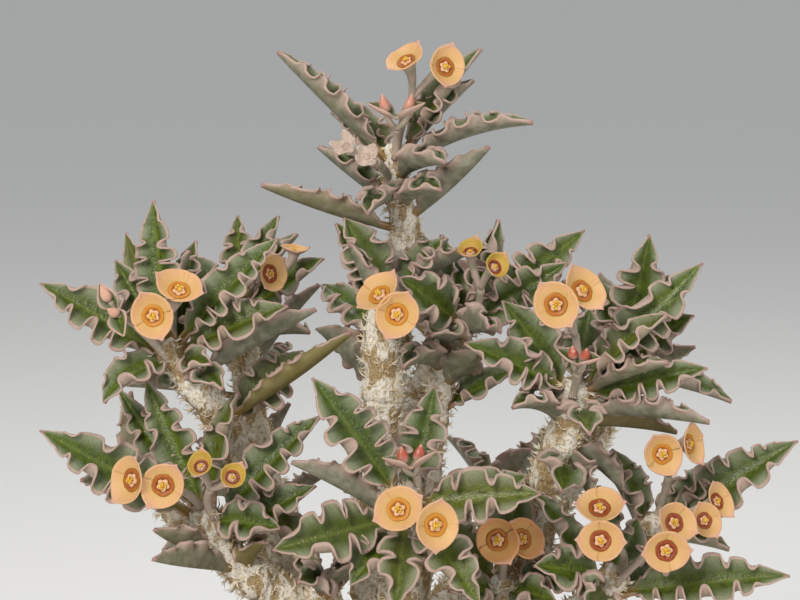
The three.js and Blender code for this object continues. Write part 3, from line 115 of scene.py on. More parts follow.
SHOOTS = (
    ShootPlan(
        "centre", (5.4, 3.7), 22, 3,
        way=((-4, -72, 2), (-5, -55, 4), (-4.5, -40, 4), (-4, -26, 4), (-3.2, -16, 4),
            (-3.6, -7, 4), (-1, 2.5, 6)),
        leaves=((-11, 16.5, 6, 3, 5, 8, 24, 1.2), (-9.5, 11.5, 15, 6, 2.8, 0, 40, 0.4),
            (14.5, 13.5, 3, 2, 4.6, 22, 30, -0.7), (-15, 0.5, -3, 20, 5, 6, 20, -1)),
    ),
    ShootPlan(
        "top", (3.6, 2.7), 20, 3,
        way=((-4.5, -31, 4), (-2.5, -19, -6), (-0.5, -6, -6), (1, 8, -4), (0.8, 16, -4),
            (-1, 23, -3), (-0.5, 31, -2)),
        leaves=((-24, 50, 4, 3, 4.2, -6, 42, 0.15), (26.5, 36, 8, 4, 4, 30, 40, 0.1),
            (16, 50.5, -6, 2, 3.8, 10, 34, 0.2), (-27.5, 23.5, 2, 17, 3.8, -12, 44, -0.1),
            (17.5, 31, 4, 15, 3.8, -16, 46, -0.4), (-16, 31, -7, 12, 3.6, -8, 40, -0.2),
            (-13.5, 38, -14, 5, 3.6, 6, 30, 0), (9, 28, 15, 6, 4.2, 20, 34, -0.3),
            (8, 22.5, 13, 12, 4, 24, 34, 0), (-8, 24, 12, 10, 3.8, 16, 34, -0.3)),
    ),
    ShootPlan(
        "upper_left", (4.6, 2.9), 25, 2,
        way=((-7, -70, 0), (-15, -62, -4), (-26, -45, -4), (-33, -29, 0), (-38, -21, 4),
            (-42.5, -15.5, 5), (-47.5, -8.5, 6)),
        leaves=((-72, 3.5, 9, 3, 4.5, 6, 24, 1.3), (-49.5, 20, 3, 1, 4.2, 6, 26, 1.5),
            (-57, 8, -3, 2, 3.6, 10, 40, -0.5), (-55, 13.5, -8, 4, 3.6, 4, 34, 0.2),
            (-41, 12, -8, 4, 3.8, 14, 30, 0.7), (-24.5, 12.5, 0, 2, 4.2, 4, 28, 1.1),
            (-22.5, -1, 8, 3, 4.4, 8, 32, 0.9), (-17, -1.5, 3, 9, 4.2, -6, 36, -0.8),
            (-59.5, -20.5, 13, 5, 4.2, 86, 26, 0.7), (-38, -12.5, 15, 6, 3, 20, 34, 0.4),
            (-35.5, -17.5, 16, 10, 3.4, 50, 38, -0.5), (-10, -6, 7, 20, 3.2, -14, 48, -0.6),
            (-19.5, -10, -4, 22, 4.8, -8, 20, 1.2)),
    ),
    ShootPlan(
        "left_middle", (3.4, 2.7), 14, 3,
        way=((-25, -46, -4), (-28, -31, -12), (-30.5, -14, -16), (-32.3, -0.9, -15)),
        leaves=((-24.5, 17, -14, 1, 3.6, 10, 34, 0.5), (-32.5, 17, -21, 2, 3.2, 6, 34, 0.2),
            (-15.5, 8.5, -8, 2, 4, 10, 28, 1), (-18, -6, -7, 7, 4, 20, 36, -0.6),
            (-42, 9, -17, 4, 3.8, 14, 30, 0.8)),
    ),
    ShootPlan(
        "centre_right", (3.8, 2.5), 25, 3,
        way=((-1, -71, -3), (3, -56, -5), (5, -42, -4), (6, -28, -2), (8, -19, -1), (9.5, -9, 0),
            (14, -4, 2.5)),
        leaves=((0, 4.5, 10, 2, 4.8, 12, 24, 1.4), (33.5, 7.5, 5, 3, 4, 4, 32, 0.9),
            (37, 14, -5, 1, 4.2, 6, 26, 1.2), (18.5, 14, -3, 1, 3.6, 6, 34, 0.3),
            (11, 8, 0, 2, 2.6, 0, 40, 0.3), (18, -5, 21, 4, 4, 26, 34, 0),
            (6.5, -6.5, 16, 7, 4.8, 30, 20, -1), (0.5, -13, 11, 12, 3.8, 34, 40, -0.5),
            (15.5, -10, 4, 15, 4.6, -6, 22, -1), (22.5, -14, 1, 20, 3.8, -8, 30, 0.6)),
    ),
    ShootPlan(
        "right", (6.2, 3.1), 20, 1,
        way=((4, -72, 1), (14, -66, 1), (22, -57, 1), (27, -46, 2), (30, -34, 4), (33, -26, 6),
            (35.5, -16.5, 10)),
        leaves=((13, -8.5, 14, 2, 4.3, 8, 30, 0.9), (20.5, 0, 2, 3, 4.6, 10, 24, 0.8),
            (38, -1.5, 15, 2, 4, 16, 30, -0.9), (60.5, 7.5, 7, 2, 4.5, 6, 22, 1.3),
            (53.5, -12, 17, 1, 3.6, 4, 40, -0.2), (61.5, -13.5, 11, 3, 3.9, 6, 28, 1.3),
            (62, -24, 14, 6, 4.2, 10, 38, -0.5), (55.5, -26, 3, 9, 4, 14, 34, -0.5),
            (25, -17, 23, 5, 4, 60, 34, -0.3), (22.5, -21, 15, 9, 4, 46, 36, -0.4),
            (38, -26.5, 24, 6, 4, 26, 32, 0.4), (38.5, -39, 9, 14, 4, 6, 34, -0.6),
            (45, -37.5, 5, 13, 4, 8, 34, -0.6), (32.5, -38, 17, 17, 4.6, 6, 24, -0.9)),
    ),
    ShootPlan(
        "right_back", (3.4, 2.6), 13, 3,
        way=((28, -43, 2.2), (32, -35, -5), (42, -19, -9), (45.5, -9, -7)),
        leaves=((50, 13, -4, 2, 4.7, 6, 22, 1.5), (58.5, -3, 0, 3, 4.2, 10, 26, 1.4),
            (66.5, -20, -4, 6, 3.8, 16, 34, 0.2), (40, 4, -12, 3, 4, 10, 30, 0.4)),
    ),
    ShootPlan(
        "lower_left", (5.2, 3.2), 20, 1,
        way=((-7, -72, 4), (-14, -67, 6), (-22.5, -60, 8), (-30, -55, 10), (-36, -49.5, 12),
            (-40, -41.5, 14)),
        leaves=((-72, -26, 15, 2, 5, 4, 20, 1.6), (-47.5, -14.5, 11, 3, 4.1, 6, 26, 1.4),
            (-56.5, -17.5, 3, 3, 3.4, 4, 34, 1), (-24, -45.5, 27, 3, 4, 12, 32, 0.9),
            (-16, -23, 11, 4, 4.6, 6, 30, 0.9), (-17, -37, 15, 8, 3.8, 6, 28, 0.9),
            (-49.5, -51.5, 20, 14, 3.8, -8, 56, -0.3), (-49, -45.5, 23, 8, 3.4, -36, 44, -0.2),
            (-27.5, -48, 19, 16, 3.6, 8, 32, -0.9)),
    ),
    ShootPlan(
        "lower_centre", (4.6, 2.9), 16, 1,
        way=((-3, -72, 10), (-1, -62, 16), (0, -53, 22), (1, -45, 26), (1.5, -38, 29)),
        leaves=((-17.5, -15.5, 26, 3, 5, 8, 26, 1.4), (-25.5, -50, 34, 6, 5, 10, 22, 1.5),
            (-21.5, -32, 18, 7, 4.2, 8, 28, -1.1), (26, -29.5, 27, 3, 4.6, 10, 28, 1.1),
            (25.5, -35, 19, 7, 4.6, 8, 24, 1), (16, -61, 40, 4, 4.2, 40, 30, 1.1),
            (15, -54, 28, 9, 4, 20, 30, -0.7), (-1, -62, 42, 6, 3.8, 30, 28, 1),
            (-10, -57, 34, 9, 4, 30, 28, 0.2), (7, -17, 20, 5, 4, 6, 28, 0.6)),
    ),
    ShootPlan(
        "low_right", (3, 2.5), 9, 3,
        way=((17, -63, 2), (20, -60, 9), (20.5, -55.5, 13)),
        leaves=((31, -60, 20, 3, 3.6, 20, 30, 0.6), (10, -58, 20, 4, 3.4, 20, 30, 0.5)),
    ),
    ShootPlan(
        "lower_right", (4.6, 3), 14, 2,
        way=((2, -73, 6), (14, -72, 8), (27, -67, 10), (37, -61.5, 12), (44, -54, 13)),
        leaves=((78, -55, 17, 5, 4.9, 6, 26, 1.3), (27, -53, 22, 3, 4.8, 14, 24, 1),
            (24.5, -38, 7, 6, 4.2, 6, 30, 0.3), (47.5, -43.5, 17, 3, 3.8, 20, 32, 0),
            (37, -62, 30, 5, 4.6, 20, 24, 1)),
    ),
    ShootPlan(
        "far_right", (3.4, 2.6), 12, 2,
        way=((29, -66, 10.5), (37, -62.5, 2), (46, -54, -2), (51.5, -43, -2)),
        leaves=((79.5, -28, 3, 3, 4.9, 4, 22, 1.4), (59.5, -36, 2, 2, 3.8, 20, 24, 1.3),
            (66, -49.5, 10, 4, 3.8, 14, 34, 0.1), (43, -30, -3, 3, 3.8, 6, 30, 0.6)),
    ),
    ShootPlan(
        "low_left", (3, 2.5), 9, 3,
        way=((-15, -66, 7), (-15.5, -61, 14), (-15, -56, 17)),
        leaves=((-20, -56, 30, 2, 4, 26, 26, 1), (-9, -52, 26, 3, 3.4, 14, 30, 0.4)),
    ),
    ShootPlan(
        "back_left", (3.6, 2.7), 13, 5,
        way=((-20, -54, -4), (-24, -42, -22), (-30, -26, -32), (-31, -12, -36)),
    ),
    ShootPlan(
        "back_centre", (3.8, 2.7), 13, 5,
        way=((-4.8, -40, 4), (0, -27, -12), (6, -14, -26), (8.5, -3, -32)),
    ),
    ShootPlan(
        "back_right", (3.6, 2.7), 13, 5,
        way=((26.5, -48, 2), (34, -36, -14), (41, -24, -28), (43.5, -13, -35)),
    ),
    ShootPlan(
        "far_left", (3.4, 2.6), 12, 4,
        way=((-23, -59.5, 8), (-30, -55, -6), (-43, -45, -14), (-51, -35, -17)),
    ),
    ShootPlan(
        "back_low_right", (4.2, 2.7), 13, 5,
        way=((0, -72, -6), (4, -66, -20), (12, -56, -33), (18, -46, -41), (20, -37, -45)),
    ),
    ShootPlan(
        "back_low_left", (4.2, 2.7), 13, 5,
        way=((-6, -72, -6), (-12, -66, -18), (-22, -56, -30), (-29, -47, -37), (-31, -39, -40)),
    ),
)

BLOOMS = (
    BloomPlan(
        "top_pair", "top", 0, Stage.OPEN, 0.5, 0.55,
        cups=((0.8, 48.7, 6, -0.35, 0.75, 0.55, 42, 3.8),
            (9.6, 46.9, 7, 0.42, 0.25, 0.85, 80, 3.9)),
    ),
    BloomPlan(
        "top_buds", "top", 1, Stage.BUD, 0.5, 0.45,
        cups=((-3, 38.5, 6, -0.2, 0.9, 0.3, 80, 1.9), (1.8, 38.5, 7, 0.2, 0.9, 0.3, 70, 1.9)),
    ),
    BloomPlan(
        "top_dry", "top", 8, Stage.DRY, 0.9, 0.9,
        cups=((-11.2, 31.2, 9, -0.4, 0.5, 0.8, 30, 2.4), (-6.6, 29, 17, 0, 0.4, 0.9, 80, 2.2)),
    ),
    BloomPlan(
        "upper_left_pair", "upper_left", 0, Stage.OPEN, 0.5, 0.2,
        cups=((-49.6, -3.2, 17, -0.05, 0.1, 1, 114, 4.35),
            (-44.1, 2.9, 13, 0.12, 0.75, 0.65, -22, 4.4)),
    ),
    BloomPlan(
        "upper_left_buds", "upper_left", 2, Stage.BUD, 0.5, 0.1,
        cups=((-58.6, 0.8, 15, -0.4, 0.8, 0.4, 60, 1.8), (-57, -2.6, 16, -0.5, 0.4, 0.6, 30, 1.5)),
    ),
    BloomPlan(
        "left_middle_bloom", "left_middle", 0, Stage.OPEN, 0.36, 0.85,
        cups=((-25.2, 5.4, 2, 0.7, 0.2, 0.66, 50, 3.8), (-21, 10.5, -8, 0.2, 0.9, 0.1, 20, 2.6)),
    ),
    BloomPlan(
        "centre_pair", "centre", 0, Stage.OPEN, 0.42, 0.15,
        cups=((-4.7, 2, 20, -0.4, 0.7, 0.58, 40, 4.4), (-0.6, -3, 23, 0.03, 0.05, 1, 65, 4.35)),
    ),
    BloomPlan(
        "centre_right_pair", "centre_right", 0, Stage.YOUNG, 0.1, 0.9,
        cups=((14, 10.2, 9, -0.1, 0.82, 0.55, 60, 2.6), (19.4, 6.9, 12, 0.45, 0.45, 0.75, 60, 2.6)),
    ),
    BloomPlan(
        "right_pair", "right", 0, Stage.OPEN, 0.5, 0.45,
        cups=((31.2, -1, 22, -0.05, 0.1, 1, -54, 4.5), (37.2, 2.4, 19, 0.45, 0.48, 0.72, -50, 4.5)),
    ),
    BloomPlan(
        "right_buds", "right", 1, Stage.BUD, 0.5, 0.9,
        cups=((34.6, -11, 21, -0.1, 0.9, 0.5, 0, 1.5), (37, -11.5, 22, 0.1, 0.9, 0.5, 0, 1.5)),
    ),
    BloomPlan(
        "far_right_pair", "far_right", 0, Stage.OPEN, 0.42, 0.3,
        cups=((52.8, -31, 13, 0.14, 0.05, 1, 120, 4.1),
            (58.9, -28.7, 9, 0.76, 0.2, 0.58, -62, 3.9)),
    ),
    BloomPlan(
        "far_right_young", "far_right", 2, Stage.OPEN, 0.45, 0.8,
        cups=((61.4, -44, 13, 0.35, 0.3, 0.85, -60, 3.4), (64.2, -40, 8, 0.6, 0.4, 0.65, -50, 3.5)),
    ),
    BloomPlan(
        "lower_right_pair", "lower_right", 0, Stage.OPEN, 0.45, 0.75,
        cups=((40, -40.8, 22, 0, 0.72, 0.68, 0, 4.3), (40.2, -48.2, 26, 0, 0.2, 1, -3, 4.2)),
    ),
    BloomPlan(
        "lower_right_young", "lower_right", 1, Stage.OPEN, 0.45, 0.85,
        cups=((55.5, -44.4, 20, 0.4, 0.35, 0.85, -25, 4.0), (53.4, -50.4, 25, 0, 0.05, 1, 5, 4.25)),
    ),
    BloomPlan(
        "lower_left_pair", "lower_left", 0, Stage.OPEN, 0.5, 0.6,
        cups=((-54.8, -36, 25, -0.64, 0.15, 0.72, 55, 4.6),
            (-47.6, -37.3, 27, -0.05, 0.05, 1, 56, 4.35)),
    ),
    BloomPlan(
        "lower_left_young", "lower_left", 1, Stage.YOUNG, 0.1, 0.85,
        cups=((-40, -32.9, 25, -0.15, 0.6, 0.75, 80, 2.6),
            (-33.4, -35.2, 26, 0.2, 0.5, 0.8, 60, 2.6)),
    ),
    BloomPlan(
        "lower_centre_pair", "lower_centre", 0, Stage.OPEN, 0.5, 0.1,
        cups=((-0.4, -41.7, 42, -0.08, 0.35, 0.92, 26, 4.4),
            (7.6, -45.2, 43, 0.3, 0.1, 0.95, 84, 4.4)),
    ),
    BloomPlan(
        "lower_centre_buds", "lower_centre", 1, Stage.BUD, 0.5, 0.8,
        cups=((0.6, -31.8, 31, -0.15, 1, 0.1, 10, 1.7), (3.8, -31.4, 31, 0.15, 1, 0.1, 10, 1.7)),
    ),
    BloomPlan(
        "low_right_pair", "low_right", 0, Stage.OPEN, 0.95, 0.5,
        cups=((19.5, -48.2, 21, -0.05, 0.12, 1, -60, 4.4),
            (25.2, -47.6, 18, 0.5, 0.35, 0.8, -35, 4.2)),
    ),
    BloomPlan(
        "back_left_pair", "back_left", 0, Stage.OPEN, 0.5, 0.3,
        cups=((-36, -4, -46, -0.3, 0.6, -0.8, 30, 4.6), (-27, -2, -47, 0.2, 0.7, -0.7, 100, 4.5)),
    ),
    BloomPlan(
        "back_centre_pair", "back_centre", 0, Stage.OPEN, 0.5, 0.5,
        cups=((5, 6, -42, -0.2, 0.6, -0.8, 60, 4.6), (13, 5, -43, 0.3, 0.5, -0.8, 0, 4.5)),
    ),
    BloomPlan(
        "back_right_pair", "back_right", 0, Stage.OPEN, 0.5, 0.2,
        cups=((40, -4, -46, -0.2, 0.5, -0.9, 20, 4.6), (49, -5, -44, 0.4, 0.6, -0.7, 80, 4.4)),
    ),
)


class Draw:
    """Seeded random draws."""

    FACTOR = 1664525
    STEP = 1013904223
    RANGE = 2**32

    def __init__(self, seed: int) -> None:
        """Start from a seed."""
        self.state = seed

    def between(self, low: float, high: float) -> float:
        """Draw a number between two others."""
        self.state = (self.state * self.FACTOR + self.STEP) % self.RANGE
        return low + ((high - low) * self.state) / self.RANGE

    def phase(self) -> float:
        """Draw where a wave starts."""
        return self.between(0, 6)


def unit(vector: Vec) -> Vec:
    """Return the vector with length 1."""
    return vector / math.sqrt(float(vector @ vector))


def square_to(vector: Vec, direction: Vec) -> Vec:
    """Return the part of a vector that is square to a unit direction."""
    return vector - float(vector @ direction) * direction


def any_normal(direction: Vec) -> Vec:
    """Return a unit vector square to a direction."""
    helper = UP if abs(direction[2]) < 0.9 else RIGHT
    return unit(square_to(helper, direction))


def turned(vector: Vec, axis: Vec, angle: float) -> Vec:
    """Turn a vector about a unit axis by an angle."""
    along = axis * float(axis @ vector) * (1 - math.cos(angle))
    return vector * math.cos(angle) + np.cross(axis, vector) * math.sin(angle) + along


def seen(across: float, up: float, toward: float) -> Vec:
    """Return the point that looks to be there on the picture and is that near to the viewer.

    Args:
        across: How far right of the middle it looks, in millimetres.
        up: How high it looks.
        toward: How near to the viewer it is.

    Returns:
        Its place.
    """
    sin, cos = math.sin(VIEW_TILT), math.cos(VIEW_TILT)
    lens_y, lens_z = -VIEW_DISTANCE * cos, VIEW_HEIGHT + VIEW_DISTANCE * sin
    rise = up / VIEW_DISTANCE
    reach = (-toward - lens_y) / (cos + rise * sin)
    return np.array([reach * across / VIEW_DISTANCE, -toward, lens_z + reach * (rise * cos - sin)])


def facing(across: float, up: float, toward: float) -> Vec:
    """Return the unit direction that points that way on the picture."""
    return unit(np.array([across, -toward, up]))


def bend(start: Vec, middle: Vec, end: Vec, steps: int) -> list[Vec]:
    """Return the points of a curve pulled toward a middle point."""
    shares = [i / steps for i in range(steps + 1)]
    return [(1 - t) ** 2 * start + 2 * (1 - t) * t * middle + t * t * end for t in shares]


def ring(centre: Vec, first: Vec, second: Vec, radius: Vec | float, sides: int) -> Vec:
    """Return the points of a circle, whose radius may change round it.

    Args:
        centre: Its centre.
        first: The direction of the first point.
        second: The direction square to it.
        radius: One radius, or one for each point.
        sides: How many points.

    Returns:
        The points.
    """
    angles = TURN * np.arange(sides) / sides
    reach = np.broadcast_to(radius, (sides,))
    across = np.outer(reach * np.cos(angles), first)
    return centre + across + np.outer(reach * np.sin(angles), second)


class Limb:
    """The smooth way of a limb from its root to its tip.

    TIP_LENGTH is the end that gives its axis, REACH how far both ways its direction is taken,
    and KNOB how much its bark stands out, as a share of its radius.
    """

    SAMPLES = 80
    TIP_LENGTH = 6.0
    REACH = 1.5
    KNOB = 0.08

    def __init__(self, plan: ShootPlan) -> None:
        """Lay the way through the points of the plan.

        Args:
            plan: The limb's plan.
        """
        self.plan = plan
        way = [seen(*place) for place in plan.way]
        ends = [2 * way[0] - way[1], *way, 2 * way[-1] - way[-2]]
        samples = []
        for i in range(self.SAMPLES + 1):
            place = (len(way) - 1) * (i / self.SAMPLES)
            k = min(int(place), len(way) - 2)
            t = place - k
            before, start, end, after = ends[k : k + 4]
            leave, arrive = 0.5 * (end - before), 0.5 * (after - start)
            samples.append(
                start
                + leave * t
                + (3 * (end - start) - 2 * leave - arrive) * t * t
                + (2 * (start - end) + leave + arrive) * t**3
            )
        self.samples = np.array(samples)
        steps = np.linalg.norm(np.diff(self.samples, axis=0), axis=1)
        self.lengths = np.concatenate([[0.0], np.cumsum(steps)])
        self.total = float(self.lengths[-1])
        self.tip = self.samples[-1]
        self.axis = unit(self.tip - self.at(self.TIP_LENGTH))

    def at(self, below: float) -> Vec:
        """Return the point this far below the tip.

        Args:
            below: The distance along the limb.

        Returns:
            The point.
        """
        goal = max(self.total - below, 0.0)
        i = min(max(int(np.searchsorted(self.lengths, goal)), 1), self.SAMPLES)
        share = (goal - self.lengths[i - 1]) / (self.lengths[i] - self.lengths[i - 1])
        return self.samples[i - 1] * (1 - share) + self.samples[i] * share

    def direction_at(self, below: float) -> Vec:
        """Return the direction toward the tip this far below it."""
        return unit(self.at(max(below - self.REACH, 0)) - self.at(below + self.REACH))

    def radius_at(self, below: float) -> float:
        """Return the radius this far below the tip."""
        root, tip = self.plan.radii
        return tip + (root - tip) * min(below / self.total, 1)


@dataclass(frozen=True)
class Cup:
    """Where a cup or bud sits, the way it faces and the turn of its two tips."""

    centre: Vec
    face: Vec
    turn: float
    radius: float

    def back(self, share: float = 0.67) -> Vec:
        """Return the point behind the cup where its arm ends."""
        return self.centre - self.face * self.radius * share

    def axes(self) -> tuple[Vec, Vec]:
        """Return the direction of the tips, and the one square to it in the cup's plane.

        Returns:
            Both unit directions.
        """
        level = square_to(RIGHT, self.face)
        level = unit(level) if level @ level > 1e-6 else any_normal(self.face)
        first = turned(level, self.face, self.turn)
        return first, np.cross(self.face, first)


class Fork:
    """The forked stalk of a bloom and its two cups.

    The stem starts STRAIGHT along the shoot, at OFF_AXIS of its radius, and forks at SHARE of
    the way to the cups, raised by RISE of that way. ARM_BEND is how far the arms swing in.
    """

    STRAIGHT = 3.0
    OFF_AXIS = 0.85
    SHARE = 0.45
    RISE = 0.12
    ARM_BEND = 0.45

    def __init__(self, plan: BloomPlan, limb: Limb) -> None:
        """Place the stalk on its shoot.

        Args:
            plan: The bloom's plan.
            limb: The limb that it grows on.
        """
        self.plan = plan
        self.cups = [
            Cup(seen(*row[:3]), facing(*row[3:6]), row[6] * DEGREE, row[7]) for row in plan.cups
        ]
        middle = (self.cups[0].back() + self.cups[1].back()) * 0.5
        self.foot = limb.at(plan.below)
        out = unit(square_to(middle - self.foot, limb.axis))
        if plan.below > 0:
            self.foot = self.foot + out * limb.radius_at(plan.below) * self.OFF_AXIS
        rise = float(np.linalg.norm(self.foot - middle)) * self.RISE
        self.fork = self.foot * (1 - self.SHARE) + middle * self.SHARE + limb.axis * rise
        self.axis = limb.axis

    def stalks(self, steps: int) -> list[list[Vec]]:
        """Return the points of the stem and of both arms.

        Args:
            steps: The steps of each curve.

        Returns:
            The three curves, the stem first.
        """
        stalks = [bend(self.foot, self.foot + self.axis * self.STRAIGHT, self.fork, steps)]
        for cup in self.cups:
            back = cup.back()
            reach = float(np.linalg.norm(self.fork - back))
            stalks.append(bend(self.fork, back - cup.face * reach * self.ARM_BEND, back, steps))
        return stalks


@dataclass(frozen=True)
class Leaf:
    """A leaf's midrib, width and fold, before its margins are crisped."""

    base: Vec
    direction: Vec
    length: float
    normal: Vec
    half_width: float
    bend: float
    fold: float

    PETIOLE = 0.14
    PETIOLE_HALF = 0.75
    RISE = 0.8
    FALL = 1.15

    @property
    def side(self) -> Vec:
        """The direction from the left margin to the right one."""
        return np.cross(self.direction, self.normal)

    def blade(self, along: Vec) -> Vec:
        """Return the share of the blade, without the petiole."""
        return np.clip((along - self.PETIOLE) / (1 - self.PETIOLE), 0, 1)

    def half(self, along: Vec) -> Vec:
        """Return the half width at shares of the length.

        Args:
            along: Shares of the length.

        Returns:
            The half width at each.
        """
        blade = self.blade(along)
        peak = self.RISE / (self.RISE + self.FALL)
        shape = (blade / peak) ** self.RISE * ((1 - blade) / (1 - peak)) ** self.FALL
        return self.PETIOLE_HALF * (1 - along) + self.half_width * shape

    def spine(self, along: Vec) -> tuple[Vec, Vec]:
        """Return the midrib's points and the upward direction at each.

        Args:
            along: Shares of the length.

        Returns:
            The points, and the upward directions.
        """
        bend = 0.03 if abs(self.bend) < 0.03 else self.bend
        radius = self.length / (2 * math.sin(bend / 2))
        angle = bend * (along - 0.5)
        forward = radius * (np.sin(angle) + math.sin(bend / 2))
        upward = radius * (np.cos(angle) - math.cos(bend / 2))
        points = self.base + np.outer(forward, self.direction) + np.outer(upward, self.normal)
        ups = np.outer(np.sin(angle), self.direction) + np.outer(np.cos(angle), self.normal)
        return points, ups

    def turned_by(self, pitch: float, swing: float, share: float) -> "Leaf":
        """Return the leaf turned up or down and sideways, with a share of its length.

        Args:
            pitch: The angle up or down.
            swing: The angle sideways.
            share: The share of its length that it keeps.

        Returns:
            The new leaf.
        """
        direction = turned(turned(self.direction, self.side, pitch), self.normal, swing)
        normal = unit(square_to(turned(self.normal, self.side, pitch), direction))
        return replace(self, direction=direction, normal=normal, length=self.length * share)


class Kind(Enum):
    """What a round point that leaves keep clear of belongs to."""

    STEM = 0
    BLOOM = 1
    FOOT = 2
    LEAF = 3


class Clearance:
    """Round points that leaves keep clear of, each with its owner.

    Points farther off than MARGIN aren't looked at. A leaf may touch its own stem within OWN_STEM
    of its skin round the leaf's foot, but not with the part beyond OUTER of its length. CLOSE is
    the share of the squared reach that counts as a near miss. The samples of a leaf are
    FOOT_RADIUS thick at its foot and widen to WIDEST.
    """

    GAP = 0.45
    ROWS = 12
    COLUMNS = 5
    NEAR_BASE = 0.42
    LOWEST = 79.0
    MARGIN = 9.0
    OWN_STEM = 5.0
    OUTER = 0.6
    CLOSE = 0.3
    WIDEST = 1.0
    FOOT_RADIUS = 0.4
    WIDENS = 2.0

    def __init__(self) -> None:
        """Start with nothing to keep clear of."""
        self.points = np.zeros((0, 3))
        self.radii = np.zeros(0)
        self.owners = np.zeros(0, dtype=object)
        self.kinds = np.zeros(0, dtype=int)
        along = (np.arange(self.ROWS) + 1) / self.ROWS
        self.along = np.repeat(along, self.COLUMNS)
        self.across = np.tile(2 * np.arange(self.COLUMNS) / (self.COLUMNS - 1) - 1, self.ROWS)
        self.sample_radii = np.minimum(self.WIDEST, self.FOOT_RADIUS + self.WIDENS * self.along)

    def add(
        self, points: Sequence[Vec] | Vec, radii: Vec | float, owner: str, kinds: Vec | int
    ) -> None:
        """Keep clear of more points.

        Args:
            points: Their places.
            radii: One radius, or one for each.
            owner: The shoot or bloom that they belong to.
            kinds: One value of Kind, or one for each.
        """
        count = len(points)
        self.points = np.concatenate([self.points, np.array(points).reshape(count, 3)])
        self.radii = np.concatenate([self.radii, np.broadcast_to(radii, (count,))])
        self.owners = np.concatenate([self.owners, np.full(count, owner, dtype=object)])
        self.kinds = np.concatenate([self.kinds, np.broadcast_to(kinds, (count,))])

    def samples(self, leaf: Leaf) -> Vec:
        """Return points spread over a leaf whose margins are flat.

        Args:
            leaf: The leaf.

        Returns:
            The points, row by row.
        """
        points, ups = leaf.spine(self.along)
        reach = np.abs(self.across) * leaf.half(self.along)
        aside = np.outer(np.sign(self.across) * reach * math.cos(leaf.fold), leaf.side)
        return points + aside + ups * (reach * math.sin(leaf.fold))[:, None]

    def add_leaf(self, leaf: Leaf, owner: str) -> None:
        """Keep clear of a leaf that is laid."""
        kinds = np.where(self.along < self.NEAR_BASE, Kind.FOOT.value, Kind.LEAF.value)
        self.add(self.samples(leaf), self.sample_radii, owner, kinds)

    def conflicts(self, leaf: Leaf, owner: str, stem_radius: float) -> tuple[int, int]:
        """Count the samples of a leaf that lie too near another piece.

        Args:
            leaf: The leaf to test.
            owner: The shoot that it grows on.
            stem_radius: The radius of that shoot at its tip.

        Returns:
            The hard ones, which aren't allowed, and the near misses with leaves of the same shoot.
        """
        samples = self.samples(leaf)
        hard = int(np.count_nonzero(samples[:, 2] < self.LOWEST))
        near = np.all(self.points > samples.min(0) - self.MARGIN, axis=1)
        near &= np.all(self.points < samples.max(0) + self.MARGIN, axis=1)
        points, kinds = self.points[near], self.kinds[near]
        others = self.owners[near] != owner
        reach = self.sample_radii[:, None] + self.radii[near][None] + self.GAP
        squares = ((samples[:, None] - points[None]) ** 2).sum(2)
        touch = squares < reach * reach
        hard += int(np.count_nonzero(touch & others[None]))
        away = np.linalg.norm(points - leaf.base, axis=1) > stem_radius + self.OWN_STEM
        stem = (kinds == Kind.STEM.value) & ~others
        late = self.along[:, None] > self.OUTER
        hard += int(np.count_nonzero(touch & stem[None] & (away[None] | late)))
        leafy = (kinds == Kind.LEAF.value) & ~others
        close = (squares < self.CLOSE * reach * reach) & (self.along[:, None] > self.NEAR_BASE)
        return hard, int(np.count_nonzero(touch & leafy[None] & close))


